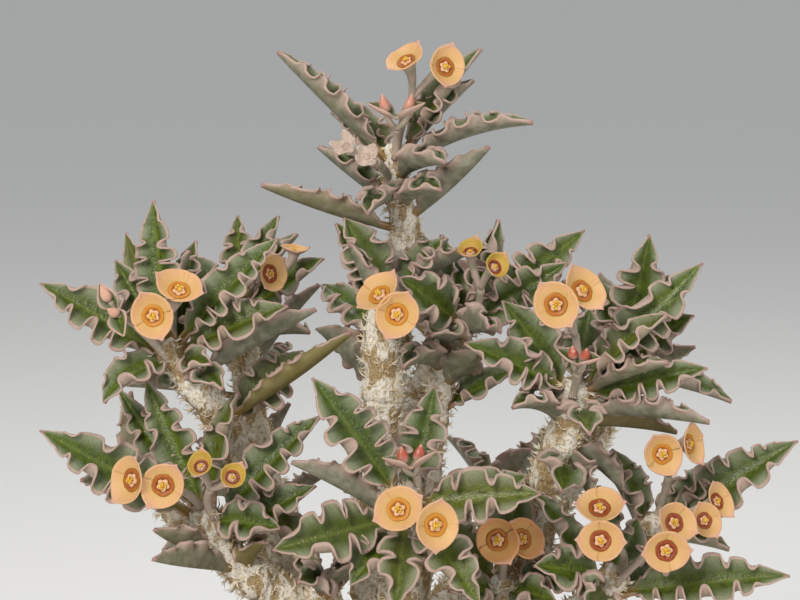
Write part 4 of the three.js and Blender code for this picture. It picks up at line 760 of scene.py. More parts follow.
class Growth:
    """The grown plan of the plant: limbs, forks and leaves, each leaf clear of the others.

    A measured leaf tries each of SHIFTS toward the viewer. Any leaf then tries TURNS in degrees,
    in that many WAYS, and shorter LENGTHS, until ENOUGH or fewer near misses are left. Leaves by
    rule start FIRST_BELOW the tip, leave BARE of the leafy end free, and stand away from the
    viewer where they face forward of FRONT. SPREAD is their angle at the tip and how much it
    grows. Angles are in degrees, but for OFF_ANGLE, and lengths in millimetres.
    """

    SHIFTS = (0, 3, -3, 6, -6, 9, -9, 12, -12, 15, -15)
    TURNS = (7, 14, 22, 30)
    LENGTHS = (1, 0.86, 0.72)
    SUNK = 0.42
    WAYS = 8
    ENOUGH = 1
    WOOD_STEP = 2.0
    STALK_SHARES = (0, 0.33, 0.67)
    STALK_SHELL = 0.75
    CUP_SHARES = (0, 0.45, 0.9)
    CUP_SIDES = 10
    CUP_SHELL = 1.3
    CUP_BACK = 0.42
    FIRST_BELOW = 2
    BARE = 6
    OFF_ANGLE = 0.3
    FRONT = -0.1
    SPREAD = (34, 58)
    OFF_SPREAD = 8
    LENGTH = (19, 25)
    HALF_WIDTH = (3.7, 4.6)
    BEND = (4, 26)
    FOLD = (24, 36)

    def __init__(self) -> None:
        """Grow limbs, then blooms, then measured leaves, then leaves by rule."""
        self.limbs = {plan.name: Limb(plan) for plan in SHOOTS}
        self.forks = [Fork(plan, self.limbs[plan.shoot]) for plan in BLOOMS]
        self.leaves: dict[str, list[Leaf]] = {plan.name: [] for plan in SHOOTS}
        self.measured: dict[str, int] = {}
        self.clear = Clearance()
        self._note_wood_and_blooms()
        for limb in self.limbs.values():
            for row in limb.plan.leaves:
                self._lay(limb, [self._measured_leaf(limb, row, shift) for shift in self.SHIFTS])
            self.measured[limb.plan.name] = len(self.leaves[limb.plan.name])
        for limb in self.limbs.values():
            plan = limb.plan
            draw = Draw(SEED + 31 * len(plan.way) + len(plan.name))
            for i in range(plan.more):
                self._lay(limb, [self._leaf_by_rule(limb, i, draw)])

    def _note_wood_and_blooms(self) -> None:
        """Keep leaves clear of every stem and bloom."""
        for name, limb in self.limbs.items():
            belows = np.arange(0, limb.total, self.WOOD_STEP)
            radii = np.array([limb.radius_at(below) * (1 + Limb.KNOB) for below in belows])
            self.clear.add([limb.at(below) for below in belows], radii, name, Kind.STEM.value)
        for fork in self.forks:
            name, bloom = fork.plan.name, Kind.BLOOM.value
            for stalk in fork.stalks(2):
                for start, end in zip(stalk, stalk[1:]):
                    spaced = [start * (1 - share) + end * share for share in self.STALK_SHARES]
                    self.clear.add(spaced, self.STALK_SHELL, name, bloom)
            for cup in fork.cups:
                first = any_normal(cup.face)
                second = np.cross(cup.face, first)
                for share in self.CUP_SHARES:
                    points = ring(cup.centre, first, second, cup.radius * share, self.CUP_SIDES)
                    self.clear.add(points, self.CUP_SHELL, name, bloom)
                back = cup.back(self.CUP_BACK)
                self.clear.add([back], cup.radius * self.CUP_BACK, name, bloom)

    def _lay(self, limb: Limb, tries: list[Leaf]) -> None:
        """Lay the first try that hits nothing, or the leaf turned or shortened until it clears.

        Args:
            limb: Its limb.
            tries: The leaf in each place that it may take.
        """
        leaf = self._laid_clear(tries, limb.plan.name, limb.plan.radii[1])
        if leaf is not None:
            self.clear.add_leaf(leaf, limb.plan.name)
            self.leaves[limb.plan.name].append(leaf)

    def _laid_clear(self, tries: list[Leaf], owner: str, stem_radius: float) -> Optional[Leaf]:
        """Return the best leaf that hits nothing, or None.

        Args:
            tries: The leaf in each place that it may take.
            owner: Its shoot.
            stem_radius: The radius of that shoot at its tip.

        Returns:
            The leaf, if any clears.
        """
        best: Optional[Leaf] = None
        fewest = math.inf

        def settled(leaf: Leaf) -> bool:
            """Note the leaf if it is the best so far, and tell if the best is good enough.

            Args:
                leaf: One try.

            Returns:
                True if no better one is needed.
            """
            nonlocal best, fewest
            hard, soft = self.clear.conflicts(leaf, owner, stem_radius)
            if hard == 0 and soft < fewest:
                best, fewest = leaf, soft
            return fewest <= self.ENOUGH

        if any(settled(leaf) for leaf in tries):
            return best
        for share in self.LENGTHS:
            for step in self.TURNS:
                for k in range(self.WAYS):
                    angle = TURN * k / self.WAYS
                    pitch, swing = step * DEGREE * math.sin(angle), step * DEGREE * math.cos(angle)
                    if settled(tries[0].turned_by(pitch, swing, share)):
                        return best
                if best is not None:
                    return best
        return None

    def _measured_leaf(self, limb: Limb, row: tuple[float, ...], shift: float) -> Leaf:
        """Return a leaf whose tip was measured, moved toward or away from the viewer.

        Args:
            limb: Its limb.
            row: Its row in the plan.
            shift: How far it is moved toward the viewer.

        Returns:
            The leaf.
        """
        across, up, toward, below, half_width, bend_degrees, fold_degrees, face = row
        tip = seen(across, up, toward + shift)
        stem, axis = limb.at(below), limb.direction_at(below)
        base = stem + unit(square_to(tip - stem, axis)) * limb.radius_at(below) * self.SUNK
        length = math.sqrt(float((tip - base) @ (tip - base)))
        direction = unit(tip - base)
        normal = unit(square_to(axis, direction)) + TOWARD_VIEWER * face
        normal = unit(square_to(normal, direction))
        bent, fold = bend_degrees * DEGREE, fold_degrees * DEGREE
        return Leaf(base, direction, length, normal, half_width, bent, fold)

    def _leaf_by_rule(self, limb: Limb, index: int, draw: Draw) -> Leaf:
        """Return a leaf that stands a golden angle on from the last.

        Args:
            limb: Its limb.
            index: Its number in the order of growth.
            draw: Random draws of this shoot.

        Returns:
            The leaf.
        """
        plan = limb.plan
        below = self.FIRST_BELOW + index * (plan.leafy - self.BARE) / plan.more
        axis = limb.direction_at(below)
        first = any_normal(axis)
        second = np.cross(axis, first)
        angle = index * GOLDEN_ANGLE + draw.between(-self.OFF_ANGLE, self.OFF_ANGLE)
        out = first * math.cos(angle) + second * math.sin(angle)
        toward = float(out @ TOWARD_VIEWER)
        if plan.leaves and toward > self.FRONT:
            out = unit(square_to(out + TOWARD_VIEWER * (-2 * toward - self.OFF_ANGLE), axis))
        least, more = self.SPREAD
        off = draw.between(-self.OFF_SPREAD, self.OFF_SPREAD)
        spread = (least + more * index / plan.more + off) * DEGREE
        direction = unit(axis * math.cos(spread) + out * math.sin(spread))
        base = limb.at(below) + out * limb.radius_at(below) * self.SUNK
        length, half_width = draw.between(*self.LENGTH), draw.between(*self.HALF_WIDTH)
        bent, fold = draw.between(*self.BEND) * DEGREE, draw.between(*self.FOLD) * DEGREE
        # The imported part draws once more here, and both keep step
        draw.between(-1, 1)
        normal = unit(square_to(axis, direction))
        return Leaf(base, direction, length, normal, half_width, bent, fold)


def deselect() -> None:
    """Leave nothing selected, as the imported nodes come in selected."""
    bpy.ops.object.select_all(action="DESELECT")


def only(piece: Object) -> None:
    """Select one piece alone and make it active.

    Args:
        piece: The piece.
    """
    deselect()
    piece.select_set(True)
    bpy.context.view_layer.objects.active = piece


def apply_modifiers(piece: Object) -> None:
    """Apply every modifier of a piece, in order.

    Args:
        piece: The piece.
    """
    only(piece)
    for modifier in list(piece.modifiers):
        bpy.ops.object.modifier_apply(modifier=modifier.name)


def joined(name: str, parts: Sequence[Object]) -> Object:
    """Join parts into one piece.

    Args:
        name: The piece's name.
        parts: The parts, each with its own mesh.

    Returns:
        The piece.
    """
    deselect()
    for part in parts:
        part.select_set(True)
    bpy.context.view_layer.objects.active = parts[0]
    if len(parts) > 1:
        bpy.ops.object.join()
    piece = bpy.context.view_layer.objects.active
    piece.name = piece.data.name = name
    return piece


def close_up(piece: Object, outward: bool = True) -> None:
    """Merge the points of seams and poles, and turn the faces of closed skins outward.

    Args:
        piece: The piece.
        outward: Whether its faces are turned.
    """
    only(piece)
    bpy.ops.object.mode_set(mode="EDIT")
    bpy.ops.mesh.select_all(action="SELECT")
    bpy.ops.mesh.remove_doubles(threshold=2e-6)
    if outward:
        bpy.ops.mesh.normals_make_consistent(inside=False)
    bpy.ops.object.mode_set(mode="OBJECT")


def dressed(piece: Object, *materials: Material) -> Object:
    """Give a piece its materials.

    Args:
        piece: The piece.
        materials: The materials, in the order of its slots.

    Returns:
        The piece.
    """
    for material in materials:
        piece.data.materials.append(material)
    return piece


def walled(piece: Object, thickness: float, rim: int = 0, group: str = "") -> None:
    """Give an open skin a thickness on its back, whose material is the next one.

    Args:
        piece: The skin, with its materials.
        thickness: The thickness in millimetres.
        rim: How many materials on from the face's the edge's one is.
        group: The vertex group that thins it, if any.
    """
    wall = piece.modifiers.new("wall", "SOLIDIFY")
    wall.thickness = thickness * MM
    wall.offset = -1
    wall.vertex_group = group
    wall.material_offset = 1
    wall.material_offset_rim = rim
    apply_modifiers(piece)


def polar(reach: Vec | float, angle: Vec, height: Vec | float) -> Vec:
    """Return points from their reach, angle and height, which are spread to one shape."""
    ways = np.broadcast_arrays(reach * np.cos(angle), reach * np.sin(angle), height)
    return np.stack(ways, axis=-1)


def place_points(piece: Object, points: Vec) -> None:
    """Move a mesh's points to places in millimetres."""
    piece.data.vertices.foreach_set("co", (points.reshape(-1, 3) * MM).astype(np.float32).ravel())
    piece.data.update()


def note(piece: Object, **values: Vec | float) -> None:
    """Write one number a point to the mesh, under each name.

    Args:
        piece: The piece.
        values: One number, or one for each point, under its name.
    """
    count = len(piece.data.vertices)
    for name, value in values.items():
        found = piece.data.attributes.get(name)
        attribute = found or piece.data.attributes.new(name, "FLOAT", "POINT")
        numbers = np.broadcast_to(np.asarray(value, dtype=np.float32).ravel(), (count,))
        attribute.data.foreach_set("value", np.ascontiguousarray(numbers))


def sheet(name: str, points: Vec, **values: Vec | float) -> Object:
    """Shape a grid of points as an open skin.

    Args:
        name: The piece's name.
        points: Rows of points in millimetres; the faces look along columns x rows.
        values: Numbers to write to the points.

    Returns:
        The new object.
    """
    rows, columns = points.shape[:2]
    deselect()
    bpy.ops.mesh.primitive_grid_add(x_subdivisions=columns - 1, y_subdivisions=rows - 1, size=1)
    piece = bpy.context.object
    piece.name = name
    place_points(piece, points)
    note(piece, **values)
    return piece


def rolled(name: str, rings: Vec, **values: Vec | float) -> Object:
    """Roll a grid of rings into a skin round an axis; a ring of equal points is a pole.

    Args:
        name: The piece's name.
        rings: Rows of points in millimetres, each of which runs round once.
        values: Numbers to write, one for a ring or one for all.

    Returns:
        The new object, whose seam is still to be merged.
    """
    wrapped = np.concatenate([rings, rings[:, :1]], axis=1)
    columns = wrapped.shape[1]
    spread = {}
    for key, value in values.items():
        value = np.asarray(value, dtype=float)
        spread[key] = np.repeat(value, columns) if value.shape == (len(rings),) else value
    return sheet(name, wrapped, **spread)


def tube(points: Sequence[Vec], radii: Sequence[float], sides: int) -> Vec:
    """Return the rings of a round tube along points, with a pole at each end.

    Args:
        points: The middle line.
        radii: The radius at each point.
        sides: The points of a ring.

    Returns:
        Rings for rolled.
    """
    line = np.array(points)
    ahead = np.concatenate([line[1:], line[-1:]])
    behind = np.concatenate([line[:1], line[:-1]])
    directions = ahead - behind
    first = any_normal(unit(directions[0]))
    rings = [np.repeat(line[:1], sides, axis=0)]
    for point, direction, radius in zip(line, directions, radii):
        direction = unit(direction)
        first = unit(square_to(first, direction))
        rings.append(ring(point, first, np.cross(direction, first), radius, sides))
    rings.append(np.repeat(line[-1:], sides, axis=0))
    return np.array(rings)


def scattered(
    name: str, parts: Sequence[Object], which: Vec, frames: Vec, places: Vec, **values: Vec
) -> Object:
    """Copy small modelled parts to many places as one mesh.

    Args:
        name: The piece's name.
        parts: The modelled parts, in millimetres; they are removed.
        which: The number of the part at each place.
        frames: A 3 x 3 matrix for each place, whose rows are the part's axes with its size.
        places: The places.
        values: Numbers to write, one for each place.

    Returns:
        The new object.
    """
    points, faces, owners = [], [], []
    start = 0
    for number, part in enumerate(parts):
        mesh = part.data
        mesh.calc_loop_triangles()
        shape = np.array([vertex.co for vertex in mesh.vertices])
        corners = np.array([triangle.vertices[:] for triangle in mesh.loop_triangles])
        chosen = np.flatnonzero(which == number)
        copies = np.einsum("vi,nij->nvj", shape, frames[chosen]) + places[chosen][:, None]
        points.append(copies.reshape(-1, 3))
        shifts = start + len(shape) * np.arange(len(chosen))
        faces.append((corners[None] + shifts[:, None, None]).reshape(-1, 3))
        owners.append(np.repeat(chosen, len(shape)))
        start += len(shape) * len(chosen)
        bpy.data.objects.remove(part)
    mesh = bpy.data.meshes.new(name)
    mesh.from_pydata((np.concatenate(points) * MM).tolist(), [], np.concatenate(faces).tolist())
    piece = bpy.data.objects.new(name, mesh)
    bpy.context.scene.collection.objects.link(piece)
    owner = np.concatenate(owners)
    note(piece, **{key: value[owner] for key, value in values.items()})
    return piece


def finished(
    piece: Object, nodes: Sequence[str], materials: Sequence[Material] = ()
) -> Object:
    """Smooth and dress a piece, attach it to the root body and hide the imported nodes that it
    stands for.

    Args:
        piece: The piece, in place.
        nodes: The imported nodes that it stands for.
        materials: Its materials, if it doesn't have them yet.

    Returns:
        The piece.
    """
    if materials:
        piece.data.materials.clear()
        dressed(piece, *materials)
    only(piece)
    bpy.ops.object.shade_smooth()
    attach(piece, "root")
    if nodes:
        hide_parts(*nodes)
    piece.data.calc_loop_triangles()
    log.info("%s: %d triangles", piece.name, len(piece.data.loop_triangles))
    return piece


def smooth_step(share: Vec) -> Vec:
    """Ease from 0 to 1."""
    share = np.clip(share, 0, 1)
    return share * share * (3 - 2 * share)


def linear(code: str) -> tuple[float, float, float, float]:
    """Turn a colour code such as a0b1c2 into the numbers that a shader takes.

    Args:
        code: Six hex digits.

    Returns:
        Red, green, blue and 1.
    """
    parts = [int(code[i : i + 2], 16) / 255 for i in (0, 2, 4)]
    red, green, blue = (
        part / 12.92 if part <= 0.04045 else ((part + 0.055) / 1.055) ** 2.4 for part in parts
    )
    return red, green, blue, 1.0


class Recipe:
    """The nodes of one procedural material."""

    def __init__(self, name: str, roughness: float, specular: float = 0.5) -> None:
        """Start a material with constant roughness and gloss.

        Args:
            name: The material's name.
            roughness: From 0 to 1.
            specular: How strongly it reflects.
        """
        self.material = bpy.data.materials.new(name)
        self.material.use_nodes = True
        self.tree = self.material.node_tree
        self.shader = self.tree.nodes["Principled BSDF"]
        self.shader.inputs["Roughness"].default_value = roughness
        self.shader.inputs["Specular IOR Level"].default_value = specular

    def add(self, kind: str, **settings: object) -> bpy.types.Node:
        """Add a node with its settings.

        Args:
            kind: The node's kind.
            settings: Its settings.

        Returns:
            The node.
        """
        node = self.tree.nodes.new(f"ShaderNode{kind}")
        for key, value in settings.items():
            setattr(node, key, value)
        return node

    def feed(self, socket: Socket, value: object) -> None:
        """Give a socket a number or colour, or link it.

        Args:
            socket: The socket.
            value: A number, a colour or another socket.
        """
        if isinstance(value, Socket):
            self.tree.links.new(value, socket)
        else:
            socket.default_value = value

    def note(self, name: str) -> Socket:
        """Read a number that the mesh carries."""
        return self.add("Attribute", attribute_name=name).outputs["Fac"]

    def place(self) -> Socket:
        """Read the place on the piece."""
        return self.add("TexCoord").outputs["Object"]

    def noise(self, size: float, detail: float = 3.0, stretch: Optional[Place] = None) -> Socket:
        """Return soft noise whose patches are about this many millimetres wide.

        Args:
            size: The width of a patch.
            detail: How many finer layers it has.
            stretch: How much finer it is along each axis.

        Returns:
            The noise, from 0 to 1.
        """
        node = self.add("TexNoise")
        where = self.place()
        if stretch is not None:
            mapping = self.add("Mapping")
            self.feed(mapping.inputs["Vector"], where)
            mapping.inputs["Scale"].default_value = stretch
            where = mapping.outputs["Vector"]
        self.feed(node.inputs["Vector"], where)
        node.inputs["Scale"].default_value = 1000 / size
        node.inputs["Detail"].default_value = detail
        return node.outputs["Fac"]

    def cells(self, size: float, feature: str = "F1") -> Socket:
        """Return the distance to scattered points this many millimetres apart.

        Args:
            size: The distance between points.
            feature: Which distance is taken.

        Returns:
            The distance.
        """
        node = self.add("TexVoronoi", feature=feature)
        self.feed(node.inputs["Vector"], self.place())
        node.inputs["Scale"].default_value = 1000 / size
        return node.outputs["Distance"]

    def math(self, operation: str, first: object, second: object = 0.0) -> Socket:
        """Work out one number from two.

        Args:
            operation: What is done.
            first: The first number.
            second: The second one, if it takes two.

        Returns:
            The result.
        """
        node = self.add("Math", operation=operation)
        self.feed(node.inputs[0], first)
        self.feed(node.inputs[1], second)
        return node.outputs[0]

    def plus(self, first: object, second: object) -> Socket:
        """Add two numbers."""
        return self.math("ADD", first, second)

    def times(self, first: object, second: object) -> Socket:
        """Multiply two numbers."""
        return self.math("MULTIPLY", first, second)

    def size(self, value: Socket) -> Socket:
        """Return a number without its sign."""
        return self.math("ABSOLUTE", value)

    def rays(self, count: float) -> Socket:
        """Return a wave, from -1 to 1, that runs this many times round a cup."""
        return self.math("SINE", self.times(self.note("round"), count))

    def ease(self, value: Socket, low: float, high: float) -> Socket:
        """Ease from 0 at the low value to 1 at the high one.

        Args:
            value: The value.
            low: Where it starts.
            high: Where it ends.

        Returns:
            The share.
        """
        node = self.add("MapRange", interpolation_type="SMOOTHSTEP")
        self.feed(node.inputs["Value"], value)
        node.inputs["From Min"].default_value = low
        node.inputs["From Max"].default_value = high
        return node.outputs[0]

    def fade(self, value: Socket, low: float, high: float) -> Socket:
        """Ease from 1 at the low value to 0 at the high one."""
        return self.math("SUBTRACT", 1.0, self.ease(value, low, high))

    def ramp(self, value: Socket, *stops: tuple[float, str]) -> Socket:
        """Return the colour between the stops' colours.

        Args:
            value: The value.
            stops: The value and colour of each stop.

        Returns:
            The colour.
        """
        node = self.add("ValToRGB")
        elements = node.color_ramp.elements
        while len(elements) < len(stops):
            elements.new(0.5)
        for element, (position, code) in zip(elements, stops):
            element.position = position
            element.color = linear(code)
        self.feed(node.inputs["Fac"], value)
        return node.outputs["Color"]

    def blend(self, share: object, first: object, second: object) -> Socket:
        """Mix two colours by a share.

        Args:
            share: The second colour's share.
            first: The first colour.
            second: The second one.

        Returns:
            The colour.
        """
        node = self.add("Mix", data_type="RGBA")
        colours = [linear(value) if isinstance(value, str) else value for value in (first, second)]
        self.feed(node.inputs[0], share)
        self.feed(node.inputs[6], colours[0])
        self.feed(node.inputs[7], colours[1])
        return node.outputs[2]

    def change(
        self, value: Socket, low: float, high: float, first: object, second: object
    ) -> Socket:
        """Return the first colour below the low value, the second above the high one."""
        return self.blend(self.ease(value, low, high), first, second)

    def relief(self, height: Socket, depth: float) -> None:
        """Raise the surface by a pattern, up to a depth in millimetres.

        Args:
            height: The pattern.
            depth: The depth.
        """
        node = self.add("Bump")
        node.inputs["Distance"].default_value = depth * MM
        self.feed(node.inputs["Height"], height)
        self.feed(self.shader.inputs["Normal"], node.outputs["Normal"])

    def finish(self, colour: object, roughness: Optional[Socket] = None) -> Material:
        """Paint the surface and return the material.

        Args:
            colour: The colour or its socket.
            roughness: A socket, if the roughness changes.

        Returns:
            The material.
        """
        paint = linear(colour) if isinstance(colour, str) else colour
        self.feed(self.shader.inputs["Base Color"], paint)
        if roughness is not None:
            self.feed(self.shader.inputs["Roughness"], roughness)
        return self.material


@dataclass(frozen=True)
class LeafFinish:
    """Waxy leaf: green core, grey-green outward, pinkish rim, olive petiole, glaucous underside."""

    core: str = "586a10"
    core_dark: str = "37480c"
    middle: str = "6a7450"
    outer: str = "858a6c"
    rim: str = "b89e90"
    midrib: str = "8e9a48"
    petiole: str = "94702c"
    old: str = "7d7034"
    under_tone: str = "94917f"
    under_dark: str = "74755f"
    under_edge: str = "ac9588"
    tip: str = "a9827a"

    def _edge(self, recipe: Recipe, colour: Socket) -> Socket:
        """Colour the margin, tip and petiole.

        Args:
            recipe: The face's recipe.
            colour: The blade's colour.

        Returns:
            The colour.
        """
        reach = recipe.size(recipe.note("across"))
        colour = recipe.change(reach, 0.84, 0.9, colour, self.rim)
        colour = recipe.change(recipe.note("along"), 0.95, 1.0, colour, self.tip)
        stalk = recipe.fade(recipe.note("along"), 0.06, 0.2)
        return recipe.blend(recipe.times(stalk, 0.85), colour, self.petiole)

    def upper(self) -> Material:
        """Make the material of the upper face.

        Returns:
            The material.
        """
        recipe = Recipe("leaf_upper", 0.4, specular=0.42)
        reach = recipe.size(recipe.note("across"))
        patches = recipe.noise(2.2, 4)
        uneven = recipe.plus(reach, recipe.times(patches, 0.35))
        core = recipe.change(recipe.noise(1.1, 3), 0.4, 0.7, self.core, self.core_dark)
        core = recipe.blend(recipe.times(recipe.note("tint"), 0.6), core, self.core_dark)
        colour = recipe.change(uneven, 0.44, 0.76, core, self.middle)
        colour = recipe.change(uneven, 0.68, 1.02, colour, self.outer)
        rib = recipe.fade(reach, 0.0, 0.14)
        colour = recipe.blend(recipe.times(rib, 0.25), colour, self.midrib)
        colour = recipe.blend(recipe.times(recipe.note("age"), 0.8), colour, self.old)
        recipe.relief(recipe.plus(recipe.noise(0.5, 2), recipe.noise(1.5, 2)), 0.16)
        shine = recipe.plus(0.26, recipe.times(uneven, 0.32))
        return recipe.finish(self._edge(recipe, colour), shine)

    def under_face(self) -> Material:
        """Make the material of the underside.

        Returns:
            The material.
        """
        recipe = Recipe("leaf_under", 0.62, specular=0.3)
        reach = recipe.size(recipe.note("across"))
        patches = recipe.noise(1.8, 4)
        colour = recipe.change(patches, 0.35, 0.7, self.under_dark, self.under_tone)
        colour = recipe.change(reach, 0.35, 0.95, colour, self.under_edge)
        colour = recipe.blend(recipe.times(recipe.note("age"), 0.85), colour, self.old)
        recipe.relief(recipe.noise(0.5, 3), 0.1)
        return recipe.finish(self._edge(recipe, colour))

    def margin(self) -> Material:
        """Make the material of the thin margin.

        Returns:
            The material.
        """
        recipe = Recipe("leaf_margin", 0.55)
        colour = recipe.blend(recipe.noise(1.0), self.rim, self.tip)
        return recipe.finish(self._edge(recipe, colour))


@dataclass(frozen=True)
class LeafShape:
    """How a leaf's margins are crisped, in millimetres and degrees.

    A wave is wave long, times a factor within pitches, and warp makes the waves follow each other
    unevenly. They curl in for longer than out, by inward, and grow over the share rise of the
    blade and die away over fall, before an end within quiet. Their strength is within curliness.
    They reach from the share crisp_from of the half width outward, in full crisp_over farther on,
    and lobe is how much wider the margin is where it curls out.
    """

    rows: int = 78
    columns: tuple[float, ...] = (0, 0.27, 0.47, 0.61, 0.74, 0.87, 1)
    petiole_rows: int = 5
    wave: float = 4.7
    curl_in: float = 138.0
    curl_out: float = 45.0
    pinch: float = 0.25
    steep: float = 0.16
    pitches: tuple[float, float] = (0.85, 1.2)
    warp: float = 0.06
    inward: float = 0.18
    rise: float = 0.14
    fall: float = 0.26
    quiet: tuple[float, float] = (0.88, 0.99)
    curliness: tuple[float, float] = (0.85, 1.08)
    roundness: float = 0.58
    crisp_from: float = 0.4
    crisp_over: float = 0.44
    lobe: float = 0.16
    fullness: float = 1.16
    flesh: float = 1.15

    def shares(self) -> tuple[Vec, Vec]:
        """Return the rows' shares along the leaf and the columns' shares across it.

        Returns:
            Both rows of shares.
        """
        petiole = np.linspace(0, Leaf.PETIOLE, self.petiole_rows)[:-1]
        blade = np.linspace(Leaf.PETIOLE, 1, self.rows + 2 - self.petiole_rows)
        half = np.array(self.columns)
        return np.concatenate([petiole, blade]), np.concatenate([-half[:0:-1], half])

    def waves(self, leaf: Leaf, blade: Vec, draw: Draw) -> tuple[Vec, Vec]:
        """Work out how one margin is crisped.

        Args:
            leaf: The leaf.
            blade: The rows' shares of its blade.
            draw: Random draws, in step with the other margins.

        Returns:
            How far the margin curls in (to 1) or out (to -1), and its shift along the blade.
        """
        pitch = self.wave * draw.between(*self.pitches)
        warp = 0
        for k in (1, 2, 3):
            height = draw.between(-self.warp, self.warp) / k
            warp = warp + height * np.sin(TURN * (k * blade + draw.between(0, 1)))
        count = leaf.length * (1 - Leaf.PETIOLE) / pitch
        turn = TURN * (count * (blade + warp) + draw.between(0, 1))
        uneven = 0.95 + 0.15 * np.sin(TURN * (1.7 * blade + draw.between(0, 1)))
        quiet = draw.between(*self.quiet)
        ends = smooth_step(blade / self.rise) * smooth_step((quiet - blade) / self.fall)
        shift = pitch / TURN * (self.pinch * np.cos(turn) - self.steep * np.sin(2 * turn))
        return (np.sin(turn) + self.inward) / (1 + self.inward) * ends * uneven, shift * ends

    def points(self, leaf: Leaf, draw: Draw) -> Vec:
        """Return the grid of points of a leaf's upper face.

        Args:
            leaf: The leaf.
            draw: Random draws of this shoot.

        Returns:
            Rows of points.
        """
        along, across = self.shares()
        middle, up = leaf.spine(along)
        ahead = np.gradient(middle, axis=0)
        ahead /= np.linalg.norm(ahead, axis=1, keepdims=True)
        half = leaf.half(along) * self.fullness
        curliness = draw.between(*self.curliness)
        columns = np.array(self.columns)
        shares = (columns[1:] + columns[:-1]) / 2
        fold = leaf.fold * smooth_step((shares + 0.12) / 0.4)
        spread = smooth_step((shares - self.crisp_from) / self.crisp_over)
        grid = np.zeros((len(along), len(across), 3))
        centre = len(columns) - 1
        grid[:, centre] = middle
        for sign in (-1, 1):
            wave, shift = self.waves(leaf, leaf.blade(along), draw)
            wave = wave * curliness
            inward = np.abs(wave) ** self.roundness * self.curl_in
            curl = np.where(wave > 0, inward, wave * self.curl_out) * DEGREE
            angle = fold[None] + curl[:, None] * spread[None]
            lobe = 1 + self.lobe * (np.abs(np.minimum(wave, 0)) ** 0.6 - 0.5) * (wave < 0)
            step = (half * lobe)[:, None] * np.diff(columns)
            outward = np.cumsum(step * np.cos(angle), axis=1)
            upward = np.cumsum(step * np.sin(angle), axis=1)
            for k, share in enumerate(columns[1:]):
                place = middle + np.outer(sign * outward[:, k], leaf.side) + up * upward[:, k, None]
                grid[:, centre + sign * (k + 1)] = place + ahead * (shift * share**1.4)[:, None]
        return grid

    def flesh_shares(self) -> Vec:
        """Return the thickness at each point as a share of the thickest.

        Returns:
            One share for each point, in rows.
        """
        along, across = self.shares()
        blade = 1 - 0.6 * np.abs(across) ** 0.7
        stalk = smooth_step((0.24 - along) / 0.2)
        return blade[None] * (1 - stalk[:, None]) * 0.85 + stalk[:, None]


@dataclass
class Foliage:
    """The leaves of every shoot, one piece a shoot."""

    growth: Growth
    front: LeafShape = LeafShape()
    back: LeafShape = LeafShape(rows=50, columns=(0, 0.28, 0.5, 0.66, 0.82, 1))
    finish: LeafFinish = LeafFinish()
    grades: int = 16
    old: dict[str, dict[int, float]] = field(
        default_factory=lambda: {
            "upper_left": {11: 0.9, 3: 0.35},
            "right": {7: 0.8, 3: 0.0},
            "lower_left": {8: 0.9, 7: 0.3},
            "top": {3: 0.35},
        }
    )

    def _pattern(self, shape: LeafShape) -> Object:
        """Model the skin of one leaf, with its thickness and its numbers, to be shaped later.

        Args:
            shape: How its margins are crisped.

        Returns:
            The pattern, whose points are all in one place.
        """
        along, across = shape.shares()
        rows, columns = len(along), len(across)
        pattern = sheet(
            "leaf_pattern", np.zeros((rows, columns, 3)), across=np.tile(across, rows),
            along=np.repeat(along, columns), tint=0.0, age=0.0,
        )
        group = pattern.vertex_groups.new(name="flesh")
        shares = np.round(shape.flesh_shares().ravel() * self.grades) / self.grades
        for share in np.unique(shares):
            group.add(np.flatnonzero(shares == share).tolist(), float(share), "REPLACE")
        return dressed(pattern, *self.materials)

    def build(self) -> None:
        """Model every leaf and dress the shoots."""
        self.materials = [self.finish.upper(), self.finish.under_face(), self.finish.margin()]
        patterns = {shape: self._pattern(shape) for shape in (self.front, self.back)}
        for name, leaves in self.growth.leaves.items():
            draw = Draw(SEED + sum(map(ord, name)))
            copies = []
            for i, leaf in enumerate(leaves):
                shape = self.front if i < self.growth.measured[name] else self.back
                pattern = patterns[shape]
                copy = pattern.copy()
                copy.data = pattern.data.copy()
                bpy.context.scene.collection.objects.link(copy)
                place_points(copy, shape.points(leaf, draw))
                age = self.old.get(name, {}).get(i, max(0.0, draw.between(-0.5, 0.25)))
                note(copy, tint=draw.between(0, 1), age=age)
                copies.append(copy)
            piece = joined(f"leaves_{name}", copies)
            walled(piece, self.front.flesh, rim=2, group="flesh")
            finished(piece, [f"leafy_shoot_{name}"])
        for pattern in patterns.values():
            bpy.data.objects.remove(pattern)


